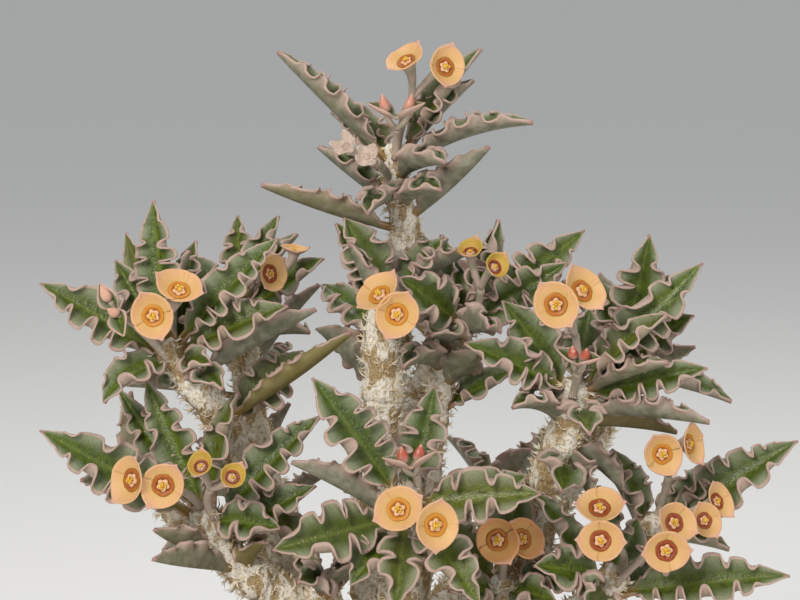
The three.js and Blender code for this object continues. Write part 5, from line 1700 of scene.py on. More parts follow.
@dataclass(frozen=True)
class BarkFinish:
    """Silvery peeling bark over grooves whose brown is painted shade, with pale bristly stipules.
    """

    white: str = "f6efe2"
    grey: str = "cfbc98"
    tan: str = "b59a6c"
    # brown is painted shade, laid in the grooves where the bark's scales meet
    brown: str = "8a6a40"
    bristle: str = "fbf3e2"
    bristle_foot: str = "dcc69c"

    def bark(self) -> Material:
        """Make the bark's material.

        Returns:
            The material.
        """
        recipe = Recipe("bark", 0.85, specular=0.25)
        fine = recipe.noise(0.6, 4)
        # The edges of the scales raise the relief and take the brown, which is painted shade in the
        # grooves
        groove_shade_and_scale_relief = recipe.ease(recipe.cells(0.42, "DISTANCE_TO_EDGE"), -0.08, 0.2)
        flake = recipe.ease(recipe.noise(3.2, 4, (1, 1, 0.5)), 0.44, 0.52)
        ground = recipe.change(fine, 0.4, 0.65, self.tan, self.grey)
        # painted shade: brown where the scales meet
        ground = recipe.blend(groove_shade_and_scale_relief, self.brown, ground)
        peel = recipe.change(fine, 0.48, 0.66, self.white, self.grey)
        height = recipe.plus(recipe.plus(flake, fine), recipe.times(groove_shade_and_scale_relief, 0.3))
        recipe.relief(height, 0.3)
        return recipe.finish(recipe.blend(flake, ground, peel))

    def stipule(self) -> Material:
        """Make the bristles' material.

        Returns:
            The material.
        """
        recipe = Recipe("stipule", 0.75, specular=0.3)
        shade = recipe.blend(recipe.note("shade"), self.bristle, self.bristle_foot)
        colour = recipe.change(recipe.noise(0.8), 0.45, 0.8, shade, self.bristle_foot)
        return recipe.finish(colour)


@dataclass
class Wood:
    """The tuber and limbs as one grown skin, the woody shoot ends and the bristly stipules.

    Each relief has its kind, the size of its bumps and how far they stand out, in millimetres.
    Each ring of the tuber has its height, its radius and how far across its middle is.
    """

    growth: Growth
    voxel: float = 0.85
    reliefs: tuple[tuple[str, float, float], ...] = (("CLOUDS", 3.6, 1.1), ("VORONOI", 1.5, -0.5))
    tuber_sides: int = 32
    limb_sides: int = 16
    limb_pace: float = 2.0
    end_sides: int = 26
    end_pace: float = 0.7
    fewest_steps: int = 3
    swell: float = 0.07
    skin: float = 0.97
    tip_taper: tuple[float, float] = (0.95, 0.78)
    bare_root: float = 7.0
    bristles: int = 4
    comb_kinds: int = 4
    pace: float = 1.15
    finish: BarkFinish = BarkFinish()
    tuber_rings: tuple[tuple[float, float, float], ...] = (
        (20, 1.6, 1), (30, 5, 1), (42, 8.5, 0), (54, 11.5, -1),
        (65, 13, -2), (73, 12.4, -3), (80, 9.6, -3), (85, 5, -3),
    )

    def build(self) -> None:
        """Model and dress all the wood."""
        self.bark = self.finish.bark()
        self.bristle = self.finish.stipule()
        self._trunk()
        for limb in self.growth.limbs.values():
            self._shoot_end(limb)

    def _stretch(self, limb: Limb, start: float, end: float, pace: float, sides: int) -> Object:
        """Model the part of a limb between two distances below its tip.

        Args:
            limb: The limb.
            start: The greater distance.
            end: The smaller one.
            pace: About how far apart its rings are.
            sides: The points of a ring.

        Returns:
            The part, whose seam is still to be merged.
        """
        steps = max(int((start - end) / pace), self.fewest_steps)
        belows = np.linspace(start, end, steps + 1)
        draw = Draw(SEED + len(limb.plan.name))
        swell = 1 + self.swell * np.sin(belows * draw.between(0.75, 1.05) + draw.phase())
        radii = [limb.radius_at(below) * factor * self.skin for below, factor in zip(belows, swell)]
        if end <= 0:
            radii[-2:] = [radius * taper for radius, taper in zip(radii[-2:], self.tip_taper)]
        return rolled("limb", tube([limb.at(below) for below in belows], radii, sides))

    def _raise_bark(self, piece: Object) -> None:
        """Roughen the skin with knobs and flakes.

        Args:
            piece: The skin.
        """
        for kind, size, strength in self.reliefs:
            texture = bpy.data.textures.new(f"{piece.name}_{kind.lower()}", kind)
            texture.noise_scale = size * MM
            relief = piece.modifiers.new(kind.lower(), "DISPLACE")
            relief.texture = texture
            relief.texture_coords = "LOCAL"
            relief.strength = strength * MM
            relief.mid_level = 0.5
        apply_modifiers(piece)

    def _trunk(self) -> None:
        """Model the tuber with its limbs, and their stipules."""
        limbs = list(self.growth.limbs.values())
        parts = [
            self._stretch(limb, limb.total, limb.plan.leafy - 0.5, self.limb_pace, self.limb_sides)
            for limb in limbs
        ]
        rings = [
            ring(np.array([across, 0, height]), RIGHT, AWAY, radius, self.tuber_sides)
            for height, radius, across in self.tuber_rings
        ]
        foot, head = (
            np.repeat(end.mean(0)[None], self.tuber_sides, axis=0) for end in (rings[0], rings[-1])
        )
        parts.append(rolled("tuber", np.array([foot, *rings, head])))
        piece = joined("tuber_and_limbs_bark", parts)
        close_up(piece)
        grown = piece.modifiers.new("grown", "REMESH")
        grown.mode = "VOXEL"
        grown.voxel_size = self.voxel * MM
        grown.use_smooth_shade = True
        self._raise_bark(piece)
        finished(piece, ["tuber_and_limbs"], [self.bark])
        found = [
            self._bristle_frames(limb, limb.plan.leafy, limb.total - self.bare_root)
            for limb in limbs
        ]
        frames, places = (np.concatenate(kind) for kind in zip(*found))
        combs = self._combs("stipules", frames, places)
        finished(combs, ["tuber_and_limbs"], [self.bristle])

    def _shoot_end(self, limb: Limb) -> None:
        """Model the woody end of a shoot, between its leaves.

        Args:
            limb: The limb with that shoot.
        """
        name, leafy = limb.plan.name, limb.plan.leafy
        core = self._stretch(limb, leafy + 1.5, 0, self.end_pace, self.end_sides)
        close_up(core)
        self._raise_bark(core)
        dressed(core, self.bark, self.bristle)
        combs = dressed(self._combs("combs", *self._bristle_frames(limb, 0.8, leafy)), self.bristle)
        piece = joined(f"stem_{name}", [core, combs])
        finished(piece, [f"leafy_shoot_{name}"])

    def _bristle_frames(self, limb: Limb, start: float, end: float) -> tuple[Vec, Vec]:
        """Return the axes and places of the stipules between two distances below the tip.

        Args:
            limb: The limb.
            start: The smaller distance.
            end: The greater one.

        Returns:
            The axes and the places.
        """
        draw = Draw(SEED + 3 * len(limb.plan.way) + int(start))
        frames, places = [], []
        below, angle = start, draw.phase()
        while below < end:
            angle += GOLDEN_ANGLE + draw.between(-0.4, 0.4)
            axis = limb.direction_at(below)
            out = turned(any_normal(axis), axis, angle)
            place = limb.at(below) + out * limb.radius_at(below) * 0.93
            lean = draw.between(-0.1, 0.9)
            stand = unit(out + axis * lean)
            sideways = unit(turned(np.cross(axis, stand), stand, draw.between(-0.5, 0.5)))
            size = draw.between(0.75, 1.35) * (1 if start < limb.plan.leafy else 0.85)
            frames.append(np.array([sideways, np.cross(stand, sideways), stand]) * size)
            places.append(place)
            thickness = limb.radius_at(below) / 3
            below += self.pace * draw.between(0.5, 1.5) / (4.5 * thickness)
        return np.array(frames).reshape(-1, 3, 3), np.array(places).reshape(-1, 3)

    def _comb(self, draw: Draw) -> Object:
        """Model one comb of bristles that fan from a flake.

        Args:
            draw: Random draws.

        Returns:
            The comb.
        """
        bristles = []
        for i in range(self.bristles):
            aside = i - (self.bristles - 1) / 2
            reach = draw.between(1.3, 2.0) * np.array([-0.2, 0.45, 1.0])
            lean = aside * draw.between(0.28, 0.45)
            curl = draw.between(-0.34, 0.34)
            side = lean * reach + 0.14 * aside
            line = np.stack([side, curl * reach**2, reach - 0.1 * reach**2], axis=1)
            bristles.append(rolled("bristle", tube(line, [0.17, 0.13, 0], 3)[1:-1] / MM))
        comb = joined("comb", bristles)
        close_up(comb, outward=False)
        return comb

    def _combs(self, name: str, frames: Vec, places: Vec) -> Object:
        """Copy a few modelled combs to many places.

        Args:
            name: The piece's name.
            frames: The axes at each place.
            places: The places.

        Returns:
            The piece.
        """
        draw = Draw(SEED + len(places))
        combs = [self._comb(draw) for _ in range(self.comb_kinds)]
        which = np.array([int(draw.between(0, self.comb_kinds)) for _ in places])
        shade = np.array([draw.between(0, 1) ** 2 for _ in places])
        return scattered(name, combs, which, frames, places, shade=shade)


@dataclass(frozen=True)
class BloomFinish:
    """Peach bracts with a yellow heart and pink edge, golden to red-brown glands, pink stalks."""

    peach: str = "ddae7c"
    heart: str = "cfae5e"
    edge: str = "d6a58c"
    young: str = "c2a044"
    brown: str = "d0945e"
    back: str = "c2a092"
    stalk: str = "b8a396"
    stalk_green: str = "9c9a82"
    gold: str = "c98420"
    red: str = "8f3d1c"
    dark: str = "6f2c16"
    star: str = "e8bc92"
    stamen: str = "e8c23c"
    bud: str = "b4503a"
    dry: str = "cbb8a8"
    dry_vein: str = "7c4a3a"

    def bract_face(self) -> Material:
        """Make the material of a bract's inner face.

        Returns:
            The material.
        """
        recipe = Recipe("bract_face", 0.5, specular=0.4)
        out = recipe.note("out")
        cloudy = recipe.plus(out, recipe.times(recipe.noise(1.6, 3), 0.3))
        ripe = recipe.note("ripe")
        base = recipe.change(ripe, 0.1, 0.4, self.young, self.peach)
        base = recipe.change(ripe, 0.65, 1.0, base, self.brown)
        heart = recipe.fade(cloudy, 0.5, 1.1)
        colour = recipe.blend(recipe.times(heart, 0.8), base, self.heart)
        colour = recipe.change(cloudy, 1.04, 1.24, colour, self.edge)
        veins = recipe.size(recipe.rays(24.0))
        recipe.relief(recipe.plus(recipe.noise(0.5, 3), recipe.times(veins, 0.25)), 0.06)
        return recipe.finish(colour)

    def bract_back(self) -> Material:
        """Make the material of a bract's back and edge.

        Returns:
            The material.
        """
        recipe = Recipe("bract_back", 0.55, specular=0.35)
        base = recipe.change(recipe.note("out"), 0.3, 1.0, self.stalk, self.back)
        recipe.relief(recipe.noise(0.5, 3), 0.05)
        return recipe.finish(recipe.change(recipe.noise(1.5), 0.4, 0.8, base, self.edge))

    def stem(self) -> Material:
        """Make the material of the stalks.

        Returns:
            The material.
        """
        recipe = Recipe("stalk", 0.55, specular=0.35)
        colour = recipe.change(recipe.noise(2.2, 3), 0.4, 0.7, self.stalk, self.stalk_green)
        recipe.relief(recipe.noise(0.5, 3), 0.06)
        return recipe.finish(colour)

    def gland(self) -> Material:
        """Make the material of the ring of glands.

        Returns:
            The material.
        """
        recipe = Recipe("gland", 0.42, specular=0.4)
        colour = recipe.change(recipe.note("blush"), 0.1, 0.9, self.gold, self.red)
        inner = recipe.fade(recipe.note("out"), 0.2, 0.6)
        colour = recipe.blend(recipe.times(inner, 0.35), colour, self.dark)
        recipe.relief(recipe.noise(0.4, 2), 0.05)
        return recipe.finish(recipe.change(recipe.noise(0.7, 3), 0.55, 0.8, colour, self.gold))

    def star_lobe(self) -> Material:
        """Make the material of the pale lobes in the middle.

        Returns:
            The material.
        """
        recipe = Recipe("star", 0.5)
        streaks = recipe.rays(20.0)
        colour = recipe.change(streaks, 0.2, 0.9, self.star, self.edge)
        return recipe.finish(recipe.change(recipe.note("out"), 0.75, 1.0, colour, self.star))

    def pollen(self) -> Material:
        """Make the material of the stamens."""
        recipe = Recipe("stamen", 0.5)
        return recipe.finish(recipe.change(recipe.noise(0.3), 0.4, 0.7, self.stamen, self.gold))

    def closed_bud(self) -> Material:
        """Make the material of closed buds.

        Returns:
            The material.
        """
        recipe = Recipe("bud", 0.42)
        ripe = recipe.change(recipe.note("blush"), 0.1, 0.9, self.edge, self.bud)
        colour = recipe.change(recipe.note("out"), 0.1, 0.6, self.back, ripe)
        colour = recipe.change(recipe.note("out"), 0.8, 1.0, colour, self.edge)
        recipe.relief(recipe.noise(0.4, 3), 0.05)
        return recipe.finish(recipe.change(recipe.noise(0.9), 0.5, 0.8, colour, self.edge))

    def withered(self) -> Material:
        """Make the material of dried bracts.

        Returns:
            The material.
        """
        recipe = Recipe("withered_bract", 0.75, specular=0.2)
        veins = recipe.size(recipe.rays(9.0))
        vein = recipe.fade(veins, 0.0, 0.3)
        colour = recipe.blend(recipe.times(vein, 0.4), self.dry, self.dry_vein)
        recipe.relief(recipe.noise(0.5, 4), 0.15)
        return recipe.finish(colour)


@dataclass
class Blooms:
    """The forked stalks with their cups, buds and dried bracts, one piece a bloom.

    Shares are of a cup's radius, walls and stalks in millimetres, spans and leans in degrees.
    Each flare of an arm has how far behind the cup it is and its radius, and each row of the star
    its reach and its height.
    """

    growth: Growth
    finish: BloomFinish = BloomFinish()
    ring_share: float = 0.385
    ring_width: float = 0.115
    floor_share: float = 0.4
    bract_wall: float = 0.24
    bract_rows: int = 10
    bract_columns: int = 37
    bract_span: float = 98.0
    overlap_from: float = 82.0
    narrow: float = 0.09
    young_lean: tuple[float, float] = (44, 50)
    lean: tuple[float, float] = (27, 36)
    stalk_sides: int = 12
    stalk_steps: int = 10
    stem_radii: tuple[float, float] = (0.85, 0.8)
    arm_radius: float = 0.62
    sunk: float = 1.5
    flares: tuple[tuple[float, float], ...] = ((0.56, 0.44), (0.48, 0.5), (0.4, 0.54))
    gland_rows: int = 11
    gland_sides: int = 40
    star_sides: int = 60
    star_rows: tuple[tuple[float, float], ...] = (
        (0.0, -0.1), (0.26, -0.1), (0.265, 0.05), (0.2, 0.09), (0.12, 0.06), (0.0, 0.03),
    )
    stamens: int = 7
    bud_rows: int = 12
    bud_sides: int = 12
    bud_bract_wall: float = 0.35

    def build(self) -> None:
        """Model and dress every bloom."""
        finish = self.finish
        self.face, self.back = finish.bract_face(), finish.bract_back()
        self.stalk, self.gland = finish.stem(), finish.gland()
        self.star, self.pollen = finish.star_lobe(), finish.pollen()
        self.bud, self.dry = finish.closed_bud(), finish.withered()
        self.bract_leaf = bpy.data.materials["leaf_upper"]
        for fork in self.growth.forks:
            parts = self._stalks(fork)
            for cup in fork.cups:
                if fork.plan.stage is Stage.BUD:
                    parts.append(self._closed_bud(cup, fork.plan.blush))
                else:
                    parts.extend(self._open_cup(cup, fork.plan))
            if fork.plan.stage is Stage.BUD:
                parts.extend(self._bud_bracts(fork))
            piece = joined(f"bloom_{fork.plan.name}_looks", parts)
            close_up(piece, outward=False)
            finished(piece, [f"bloom_{fork.plan.name}"])

    def _stalks(self, fork: Fork) -> list[Object]:
        """Model the stem and both arms, which widen into the backs of the cups.

        Args:
            fork: The forked stalk.

        Returns:
            The stem and the arms.
        """
        bud = fork.plan.stage is Stage.BUD
        stem, *arms = fork.stalks(self.stalk_steps)
        sunk = fork.foot - fork.axis * self.sunk
        radii = np.linspace(*self.stem_radii, len(stem) + 1)
        parts = [rolled("stem", tube([sunk, *stem], radii, self.stalk_sides))]
        for arm, cup in zip(arms, fork.cups):
            flares = () if bud else self.flares
            line = [fork.fork, *arm[1:], *[cup.back(share) for share, _ in flares]]
            away = np.linalg.norm(arm[1:] - arm[-1], axis=1) / 2.4
            wide = self.arm_radius if bud else min(cup.radius * 0.42, 1.45)
            body = self.arm_radius + (wide - self.arm_radius) * np.exp(-away)
            radii = [0.6, *body, *[max(width * cup.radius, 0.6) for _, width in flares]]
            parts.append(rolled("arm", tube(line, radii, self.stalk_sides)))
        return [dressed(part, self.stalk) for part in parts]

    def _in_cup(self, cup: Cup, flat: Vec) -> Vec:
        """Turn points given across, aside and forward of a cup into places."""
        first, second = cup.axes()
        return cup.centre + flat @ np.array([first, second, cup.face])

    def _half_bract(self, cup: Cup, plan: BloomPlan, side: int, draw: Draw) -> Object:
        """Model one of a cup's two bracts, which overlap at their edges.

        Args:
            cup: The cup.
            plan: The plan of its bloom.
            side: 1 for the bract on the side of the first tip, -1 for the other.
            draw: Random draws, in step with the other bract.

        Returns:
            The bract.
        """
        shares = np.linspace(0, 1, self.bract_rows)[:, None]
        turns = np.linspace(-self.bract_span, self.bract_span, self.bract_columns)[None] * DEGREE
        young = plan.stage is Stage.YOUNG
        dry = plan.stage is Stage.DRY
        edge = np.clip((np.abs(turns) / DEGREE - self.overlap_from) / 16, 0, 1)
        tip = 0.15 * np.exp(-np.abs(turns / 0.09) ** 1.5)
        tip = tip + 0.03 * np.exp(-((turns / 0.45) ** 2))
        outline = 1 + tip - 0.12 * edge**3 + 0.012 * np.sin(4 * turns + draw.phase())
        outline = outline * (1 - self.narrow * np.sin(turns) ** 2)
        if young:
            outline = outline * (0.94 + 0.06 * np.exp(-((turns / 0.5) ** 2)))
        inner = plan.ring(self.ring_share) * 0.85
        reach = inner + (outline - inner) * shares
        lean = draw.between(*(self.young_lean if young else self.lean))
        rise = math.tan(lean * DEGREE) * (reach - inner) * (0.5 + 0.6 * shares)
        height = -self.floor_share + rise + 0.03 * shares**2 * np.sin(3 * turns + draw.phase())
        height = height + side * 0.006 * edge * shares
        if dry:
            height = height + 0.45 * (np.sin(4 * turns + draw.phase()) * shares**1.5)
            reach = reach * (1 - 0.15 * np.cos(4 * turns) * shares)
        angle = turns if side > 0 else turns + math.pi
        grid = self._in_cup(cup, polar(reach, angle, height) * cup.radius)
        flipped = [np.broadcast_to(value, grid.shape[:2])[:, ::-1] for value in (reach, angle)]
        part = sheet(
            "bract", grid[:, ::-1], out=flipped[0], round=flipped[1],
            ripe=plan.ripe, blush=plan.blush,
        )
        dressed(part, *((self.dry, self.dry) if dry else (self.face, self.back)))
        walled(part, self.bract_wall)
        return part

    def _open_cup(self, cup: Cup, plan: BloomPlan) -> list[Object]:
        """Model a cup: two bracts, the ring of glands, the pale star and the stamens.

        Args:
            cup: The cup.
            plan: The plan of its bloom.

        Returns:
            The parts; a dried cup has only its bracts.
        """
        draw = Draw(SEED + int(abs(cup.centre[0] * 10)))
        parts = [self._half_bract(cup, plan, side, draw) for side in (-1, 1)]
        if plan.stage is Stage.DRY:
            return parts
        floor = -self.floor_share + 0.05
        middle = plan.ring(self.ring_share)
        rows = np.linspace(0, TURN, self.gland_rows)
        around = np.linspace(0, TURN, self.gland_sides, endpoint=False)
        lobes = 1 + 0.03 * np.cos(5 * around) - 0.015 * np.cos(10 * around)
        reach = (middle * lobes)[None] - self.ring_width * np.cos(rows)[:, None]
        lift = floor + 0.02 + 0.035 * np.sin(rows)[:, None] + 0.3 * (reach - middle)
        rings = self._in_cup(cup, polar(reach, around, lift) * cup.radius)[:, ::-1]
        gland = rolled("gland", rings, out=(1 - np.cos(rows)) / 2, blush=plan.blush)
        star = self._star(cup, floor)
        return [*parts, dressed(gland, self.gland), star, *self._stamens(cup, floor, draw)]

    def _star(self, cup: Cup, floor: float) -> Object:
        """Model the pale five-lobed dome within the glands.

        Args:
            cup: The cup.
            floor: The height of its floor, as a share of its radius.

        Returns:
            The star.
        """
        around = np.linspace(0, TURN, self.star_sides, endpoint=False)
        lobes = 0.8 + 0.34 * np.abs(np.cos(2.5 * around)) ** 1.3
        flat = [polar(reach * lobes, around, floor + lift) for reach, lift in self.star_rows]
        grid = self._in_cup(cup, np.array(flat) * cup.radius)
        out = np.array([reach for reach, _ in self.star_rows]) / 0.26
        turns = np.tile([*around, TURN], len(self.star_rows))
        return dressed(rolled("star", grid, out=out, round=turns), self.star)

    def _stamens(self, cup: Cup, floor: float, draw: Draw) -> list[Object]:
        """Model the pollen heads in the middle of a cup.

        Args:
            cup: The cup.
            floor: The height of its floor, as a share of its radius.
            draw: Random draws, in step with the cup's bracts.

        Returns:
            The heads.
        """
        parts = []
        for i in range(self.stamens):
            angle = i * GOLDEN_ANGLE
            reach = 0.0 if i == 0 else draw.between(0.08, 0.15)
            lift = floor + draw.between(0.12, 0.2)
            flat = np.array([reach * math.cos(angle), reach * math.sin(angle), lift])
            deselect()
            bpy.ops.mesh.primitive_ico_sphere_add(subdivisions=1, radius=0.066 * cup.radius * MM)
            head = bpy.context.object
            points = np.array([vertex.co for vertex in head.data.vertices]) / MM
            place_points(head, self._in_cup(cup, flat * cup.radius) + points * [1, 1, 1.25])
            parts.append(dressed(head, self.pollen))
        return parts

    def _closed_bud(self, cup: Cup, blush: float) -> Object:
        """Model a pointed bud.

        Args:
            cup: Where it sits.
            blush: How red it is, from 0 to 1.

        Returns:
            The bud.
        """
        shares = np.linspace(0, 1, self.bud_rows)
        wide = 0.72 * np.sin(math.pi * shares**0.75) ** 0.85 * (1 - 0.25 * shares)
        wide[0] = wide[-1] = 0
        around = np.linspace(0, TURN, self.bud_sides, endpoint=False)
        ridge = 1 + 0.1 * np.cos(2 * around)
        flat = polar(wide[:, None] * ridge, around, (-0.75 + 2.3 * shares)[:, None])
        bud = rolled("bud", self._in_cup(cup, flat * cup.radius), out=shares, blush=blush)
        return dressed(bud, self.bud)

    def _bud_bracts(self, fork: Fork) -> list[Object]:
        """Model the pair of boat-shaped bracts that hold two buds.

        Args:
            fork: The forked stalk of the buds.

        Returns:
            The two bracts.
        """
        first, second = fork.cups
        middle = (first.back(1.1) + second.back(1.1)) / 2
        apart = unit(second.centre - first.centre)
        upward = unit(first.face + second.face)
        along, across = np.linspace(0, 1, 14), np.linspace(-1, 1, 9)
        rows, columns = len(along), len(across)
        parts = []
        for side in (-1, 1):
            direction = unit(apart * side * 0.9 + square_to(upward, apart) * 0.5)
            normal = unit(square_to(upward - apart * side * 0.5, direction))
            base = middle - direction * 0.4
            leaf = Leaf(base, direction, first.radius * 3.6, normal, first.radius, -0.5, 0.75)
            spine, ups = leaf.spine(along)
            reach = leaf.half(along)[:, None] * np.abs(across)[None]
            lift = reach * np.sin(leaf.fold * np.abs(across))
            aside = np.sign(across)[None] * reach * math.cos(leaf.fold * 0.6)
            part = sheet(
                "bud_bract",
                spine[:, None] + aside[..., None] * leaf.side + ups[:, None] * lift[..., None],
                out=np.repeat(along, columns), across=np.tile(across, rows),
                along=np.repeat(0.5 * along + 0.3, columns), tint=0.3, age=0.0,
            )
            dressed(part, self.bract_leaf, self.back)
            walled(part, self.bud_bract_wall, rim=1)
            parts.append(part)
        return parts


@dataclass(frozen=True)
class ClayFinish:
    """Unglazed fired clay with pale lime bloom and faint turning marks."""

    clay: str = "b5643f"
    dark: str = "93492d"
    pale: str = "cd8f6b"
    lime: str = "d9cbbb"

    def material(self) -> Material:
        """Make the clay's material.

        Returns:
            The material.
        """
        recipe = Recipe("fired_clay", 0.85, specular=0.3)
        broad = recipe.noise(38, 4)
        grain = recipe.noise(1.2, 5)
        colour = recipe.ramp(broad, (0.3, self.dark), (0.5, self.clay), (0.72, self.pale))
        colour = recipe.change(grain, 0.52, 0.68, colour, self.dark)
        height = recipe.add("SeparateXYZ")
        recipe.feed(height.inputs[0], recipe.place())
        low = recipe.fade(height.outputs[2], 0.0, 0.03)
        high = recipe.ease(height.outputs[2], 0.062, 0.075)
        patches = recipe.ease(recipe.noise(9, 6), 0.42, 0.66)
        bloom = recipe.times(recipe.plus(low, high), patches)
        spots = recipe.ease(recipe.noise(4.5, 5), 0.6, 0.72)
        bloom = recipe.math("MAXIMUM", bloom, recipe.times(spots, 0.5))
        colour = recipe.blend(recipe.times(bloom, 0.7), colour, self.lime)
        marks = recipe.noise(6, 3, stretch=(0.02, 0.02, 9.0))
        recipe.relief(recipe.plus(recipe.times(marks, 0.8), grain), 0.35)
        return recipe.finish(colour)


@dataclass
class Pot:
    """A thrown clay pot with a rim band and three drains, in millimetres."""

    height: float = 76
    foot_radius: float = 38
    inside_foot: float = 35
    body_radius: float = 51
    band_radius: float = 54.5
    band_height: float = 17
    rim_radius: float = 56
    wall: float = 5
    floor: float = 7
    drains: int = 3
    drain_radius: float = 4
    drain_ring: float = 20
    sides: int = 96
    corner_steps: int = 4
    spacing: float = 4
    wobble: float = 0.0015
    finish: ClayFinish = ClayFinish()

    def inside(self, height: float) -> float:
        """Return the inner radius at a height."""
        share = (height - self.floor) / (self.height - self.floor)
        return self.inside_foot + (self.rim_radius - self.wall - self.inside_foot) * share

    def _profile(self) -> list[tuple[float, float]]:
        """Return the section, whose corners are rounded.

        Returns:
            Radius and height of each point.
        """
        band = self.height - self.band_height
        corners = [
            (0.0, 0.0, 0.0), (self.foot_radius, 0.0, 1.6), (self.body_radius, band, 0.8),
            (self.band_radius, band + 0.5, 1.2), (self.rim_radius, self.height, 2.2),
            (self.inside(self.height), self.height, 1.8),
            (self.inside(self.floor), self.floor, 5.0), (0.0, self.floor, 0.0),
        ]
        section = []
        for before, corner, after in zip(corners, corners[1:], corners[2:]):
            point, radius = np.array(corner[:2]), corner[2]
            start = point + unit(np.array(before[:2]) - point) * radius
            end = point + unit(np.array(after[:2]) - point) * radius
            section.extend(bend(start, point, end, self.corner_steps))
        section = [np.array(corners[0][:2]), *section, np.array(corners[-1][:2])]
        spaced = [section[0]]
        for point in section[1:]:
            steps = max(int(np.linalg.norm(point - spaced[-1]) / self.spacing), 1)
            start = spaced[-1]
            spaced.extend(start + (point - start) * (i + 1) / steps for i in range(steps))
        return [(float(r), float(z)) for r, z in spaced]

    def build(self) -> None:
        """Model and dress the pot."""
        around = TURN * np.arange(self.sides) / self.sides
        rings = []
        for radius, height in self._profile():
            wobble = 1 + self.wobble * np.sin(3 * around + height * 0.05)
            rings.append(polar(radius * wobble, around, height))
        piece = rolled("clay_pot", np.array(rings))
        close_up(piece)
        for i in range(self.drains):
            place = polar(self.drain_ring, TURN * (i + 0.25) / self.drains, 0.0) * MM
            deselect()
            bpy.ops.mesh.primitive_cylinder_add(
                vertices=32, radius=self.drain_radius * MM, depth=2 * self.floor * MM + 0.01,
                location=place.tolist(),
            )
            drill = bpy.context.object
            bpy.ops.object.transform_apply(location=True, rotation=True, scale=True)
            cut = piece.modifiers.new("drain", "BOOLEAN")
            cut.operation = "DIFFERENCE"
            cut.object = drill
            apply_modifiers(piece)
            bpy.data.objects.remove(drill)
        finished(piece, ["pot"], [self.finish.material()])
        only(piece)
        bpy.ops.object.shade_smooth_by_angle(angle=40 * DEGREE)


@dataclass(frozen=True)
class SoilFinish:
    """Gritty mineral soil: dark crumbs below pale, rusty and grey stones."""

    dark: str = "3a2f26"
    brown: str = "6b573f"
    pale: str = "b3a48c"
    rust: str = "8f5338"
    grey: str = "7e7b74"
    white: str = "d8d0c0"

    def crumb(self) -> Material:
        """Make the soil's material.

        Returns:
            The material.
        """
        recipe = Recipe("gritty_soil", 0.95, specular=0.2)
        cells = recipe.cells(1.4)
        crumbs = recipe.noise(1.6, 6)
        colour = recipe.ramp(crumbs, (0.35, self.dark), (0.55, self.brown), (0.75, self.pale))
        recipe.relief(recipe.plus(cells, recipe.noise(0.8, 4)), 0.8)
        return recipe.finish(colour)

    def stone(self) -> Material:
        """Make the stones' material.

        Returns:
            The material.
        """
        recipe = Recipe("grit", 0.85, specular=0.3)
        colour = recipe.ramp(
            recipe.note("shade"), (0.0, self.white), (0.25, self.pale), (0.45, self.grey),
            (0.65, self.rust), (0.85, self.brown), (1.0, self.dark),
        )
        fine = recipe.noise(0.5, 4)
        recipe.relief(fine, 0.2)
        return recipe.finish(recipe.blend(recipe.times(fine, 0.35), colour, self.dark))


@dataclass
class Soil:
    """The soil with its uneven top and a dressing of small stones, in millimetres."""

    pot: Pot
    top: float = 68
    gap: float = 0.3
    bump: float = 1.1
    twist: float = 0.25
    shoulder: float = 2
    sides: int = 96
    rings: int = 40
    crumb: float = 0.35
    stones: int = 1700
    stone_kinds: int = 4
    trunk_radius: float = 13.2
    finish: SoilFinish = SoilFinish()

    def height(self, radius: Vec, angle: Vec) -> Vec:
        """Return the height of the top."""
        humps = np.sin(3 * angle + self.twist * radius) + np.sin(5 * angle - self.twist * radius)
        return self.top + self.bump * humps / 2

    def build(self) -> None:
        """Model and dress the soil and its stones."""
        around = TURN * np.arange(self.sides) / self.sides
        draw = np.random.default_rng(SEED)
        bottom, edge = self.pot.floor + self.gap, self.top - self.shoulder
        wall = self.pot.inside(edge) - self.gap
        lower = ((0.0, bottom), (self.pot.inside(bottom) - self.gap, bottom), (wall, edge))
        rings = [polar(radius, around, height) for radius, height in lower]
        for radius in np.linspace(wall - 0.6, 0, self.rings):
            crumbs = draw.uniform(-self.crumb, self.crumb, self.sides) * min(1.0, radius / 4)
            rings.append(polar(radius, around, self.height(radius, around) + crumbs))
        piece = rolled("soil_body", np.array(rings))
        close_up(piece)
        finished(piece, ["soil"], [self.finish.crumb()])
        self._dressing(draw)

    def _dressing(self, draw: np.random.Generator) -> None:
        """Strew small stones over the soil.

        Args:
            draw: Random draws, in step with the soil's crumbs.
        """
        stones, count = [], self.stones
        for _ in range(self.stone_kinds):
            deselect()
            bpy.ops.mesh.primitive_ico_sphere_add(subdivisions=1, radius=1.0)
            stone = bpy.context.object
            points = np.array([vertex.co for vertex in stone.data.vertices])
            points *= draw.uniform(0.75, 1.2, (len(points), 1)) * np.array([1.0, 0.8, 0.65])
            stone.data.vertices.foreach_set("co", points.astype(np.float32).ravel())
            stones.append(stone)
        reach = self.pot.inside(self.top) - 2
        radius = np.sqrt(draw.uniform((self.trunk_radius + 0.5) ** 2, reach**2, count))
        angle = draw.uniform(0, TURN, count)
        size = draw.uniform(0.55, 1.0, count)
        size = size * draw.choice([1.0, 1.3, 2.0], count, p=[0.6, 0.3, 0.1])
        places = polar(radius, angle, self.height(radius, angle) + size * 0.25)
        frames = []
        turns, tilts = draw.uniform(0, 6.28, count), draw.normal(0, 0.3, count)
        for turn, tilt, scale in zip(turns, tilts, size):
            first = unit(np.array([math.cos(turn), math.sin(turn), tilt]))
            second = unit(square_to(UP, first))
            frames.append(np.array([first, np.cross(second, first), second]) * scale)
        which = draw.integers(0, self.stone_kinds, count)
        shade = draw.uniform(0, 1, count)
        piece = scattered("grit_dressing", stones, which, np.array(frames), places, shade=shade)
        finished(piece, ["soil"], [self.finish.stone()])
        only(piece)
        bpy.ops.object.shade_flat()


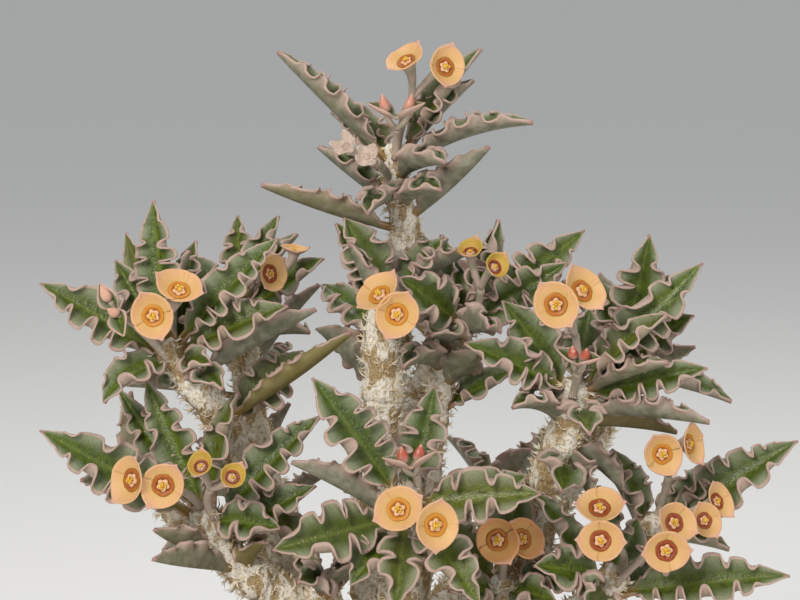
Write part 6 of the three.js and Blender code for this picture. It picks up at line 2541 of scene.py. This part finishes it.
@dataclass
class Studio:
    """The pale floor, the soft light and the camera, in metres."""

    floor_size: float = 40.0
    floor_tone: str = "f1efeb"
    sky: float = 0.45

    def build(self) -> None:
        """Set up the studio."""
        self._floor()
        self._lights()
        self._camera()

    def _floor(self) -> None:
        """Lay the plain floor."""
        deselect()
        bpy.ops.mesh.primitive_plane_add(size=self.floor_size, location=(0, 0, 0))
        floor = bpy.context.object
        floor.name = "floor"
        recipe = Recipe("floor", 0.9, specular=0.1)
        dressed(floor, recipe.finish(self.floor_tone))

    def _lights(self) -> None:
        """Hang the soft lights and set the sky."""
        lamps = (
            ("key", (-0.35, -0.75, 0.62), 0.3, 5.6, (1.0, 0.97, 0.92)),
            ("fill", (0.7, -0.55, 0.35), 0.5, 1.5, (1.0, 0.98, 0.96)),
            ("top", (0.1, 0.35, 0.9), 0.5, 3.0, (1.0, 1.0, 1.0)),
        )
        for name, place, size, power, tone in lamps:
            deselect()
            bpy.ops.object.light_add(type="AREA", location=place)
            lamp = bpy.context.object
            lamp.name = f"{name}_light"
            lamp.data.size = size
            lamp.data.energy = power
            lamp.data.color = tone
            ahead = unit(np.array([0, 0, 0.13]) - np.array(place))
            lamp.rotation_euler = (math.acos(-ahead[2]), 0, math.atan2(-ahead[0], ahead[1]))
        world = bpy.data.worlds.new("sky")
        bpy.context.scene.world = world
        world.use_nodes = True
        sky = world.node_tree.nodes["Background"]
        sky.inputs["Color"].default_value = (0.93, 0.96, 1.0, 1.0)
        sky.inputs["Strength"].default_value = self.sky
        bpy.context.scene.view_settings.view_transform = "Standard"

    def _camera(self) -> None:
        """Stand the camera where the picture was taken."""
        reach = VIEW_DISTANCE * MM
        place = (0, -reach * math.cos(VIEW_TILT), VIEW_HEIGHT * MM + reach * math.sin(VIEW_TILT))
        bpy.ops.object.camera_add(location=place, rotation=(math.pi / 2 - VIEW_TILT, 0, 0))
        camera = bpy.context.object
        camera.data.lens = LENS
        camera.data.sensor_width = 36
        camera.data.clip_start = 0.01
        bpy.context.scene.camera = camera


def main() -> None:
    """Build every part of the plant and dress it."""
    logging.basicConfig(level=logging.INFO, format="%(message)s")
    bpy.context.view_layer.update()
    growth = Growth()
    log.info("%d leaves grown", sum(map(len, growth.leaves.values())))
    Studio().build()
    pot = Pot()
    pot.build()
    Soil(pot).build()
    Wood(growth).build()
    Foliage(growth).build()
    Blooms(growth).build()


if __name__ == "__main__":
    main()
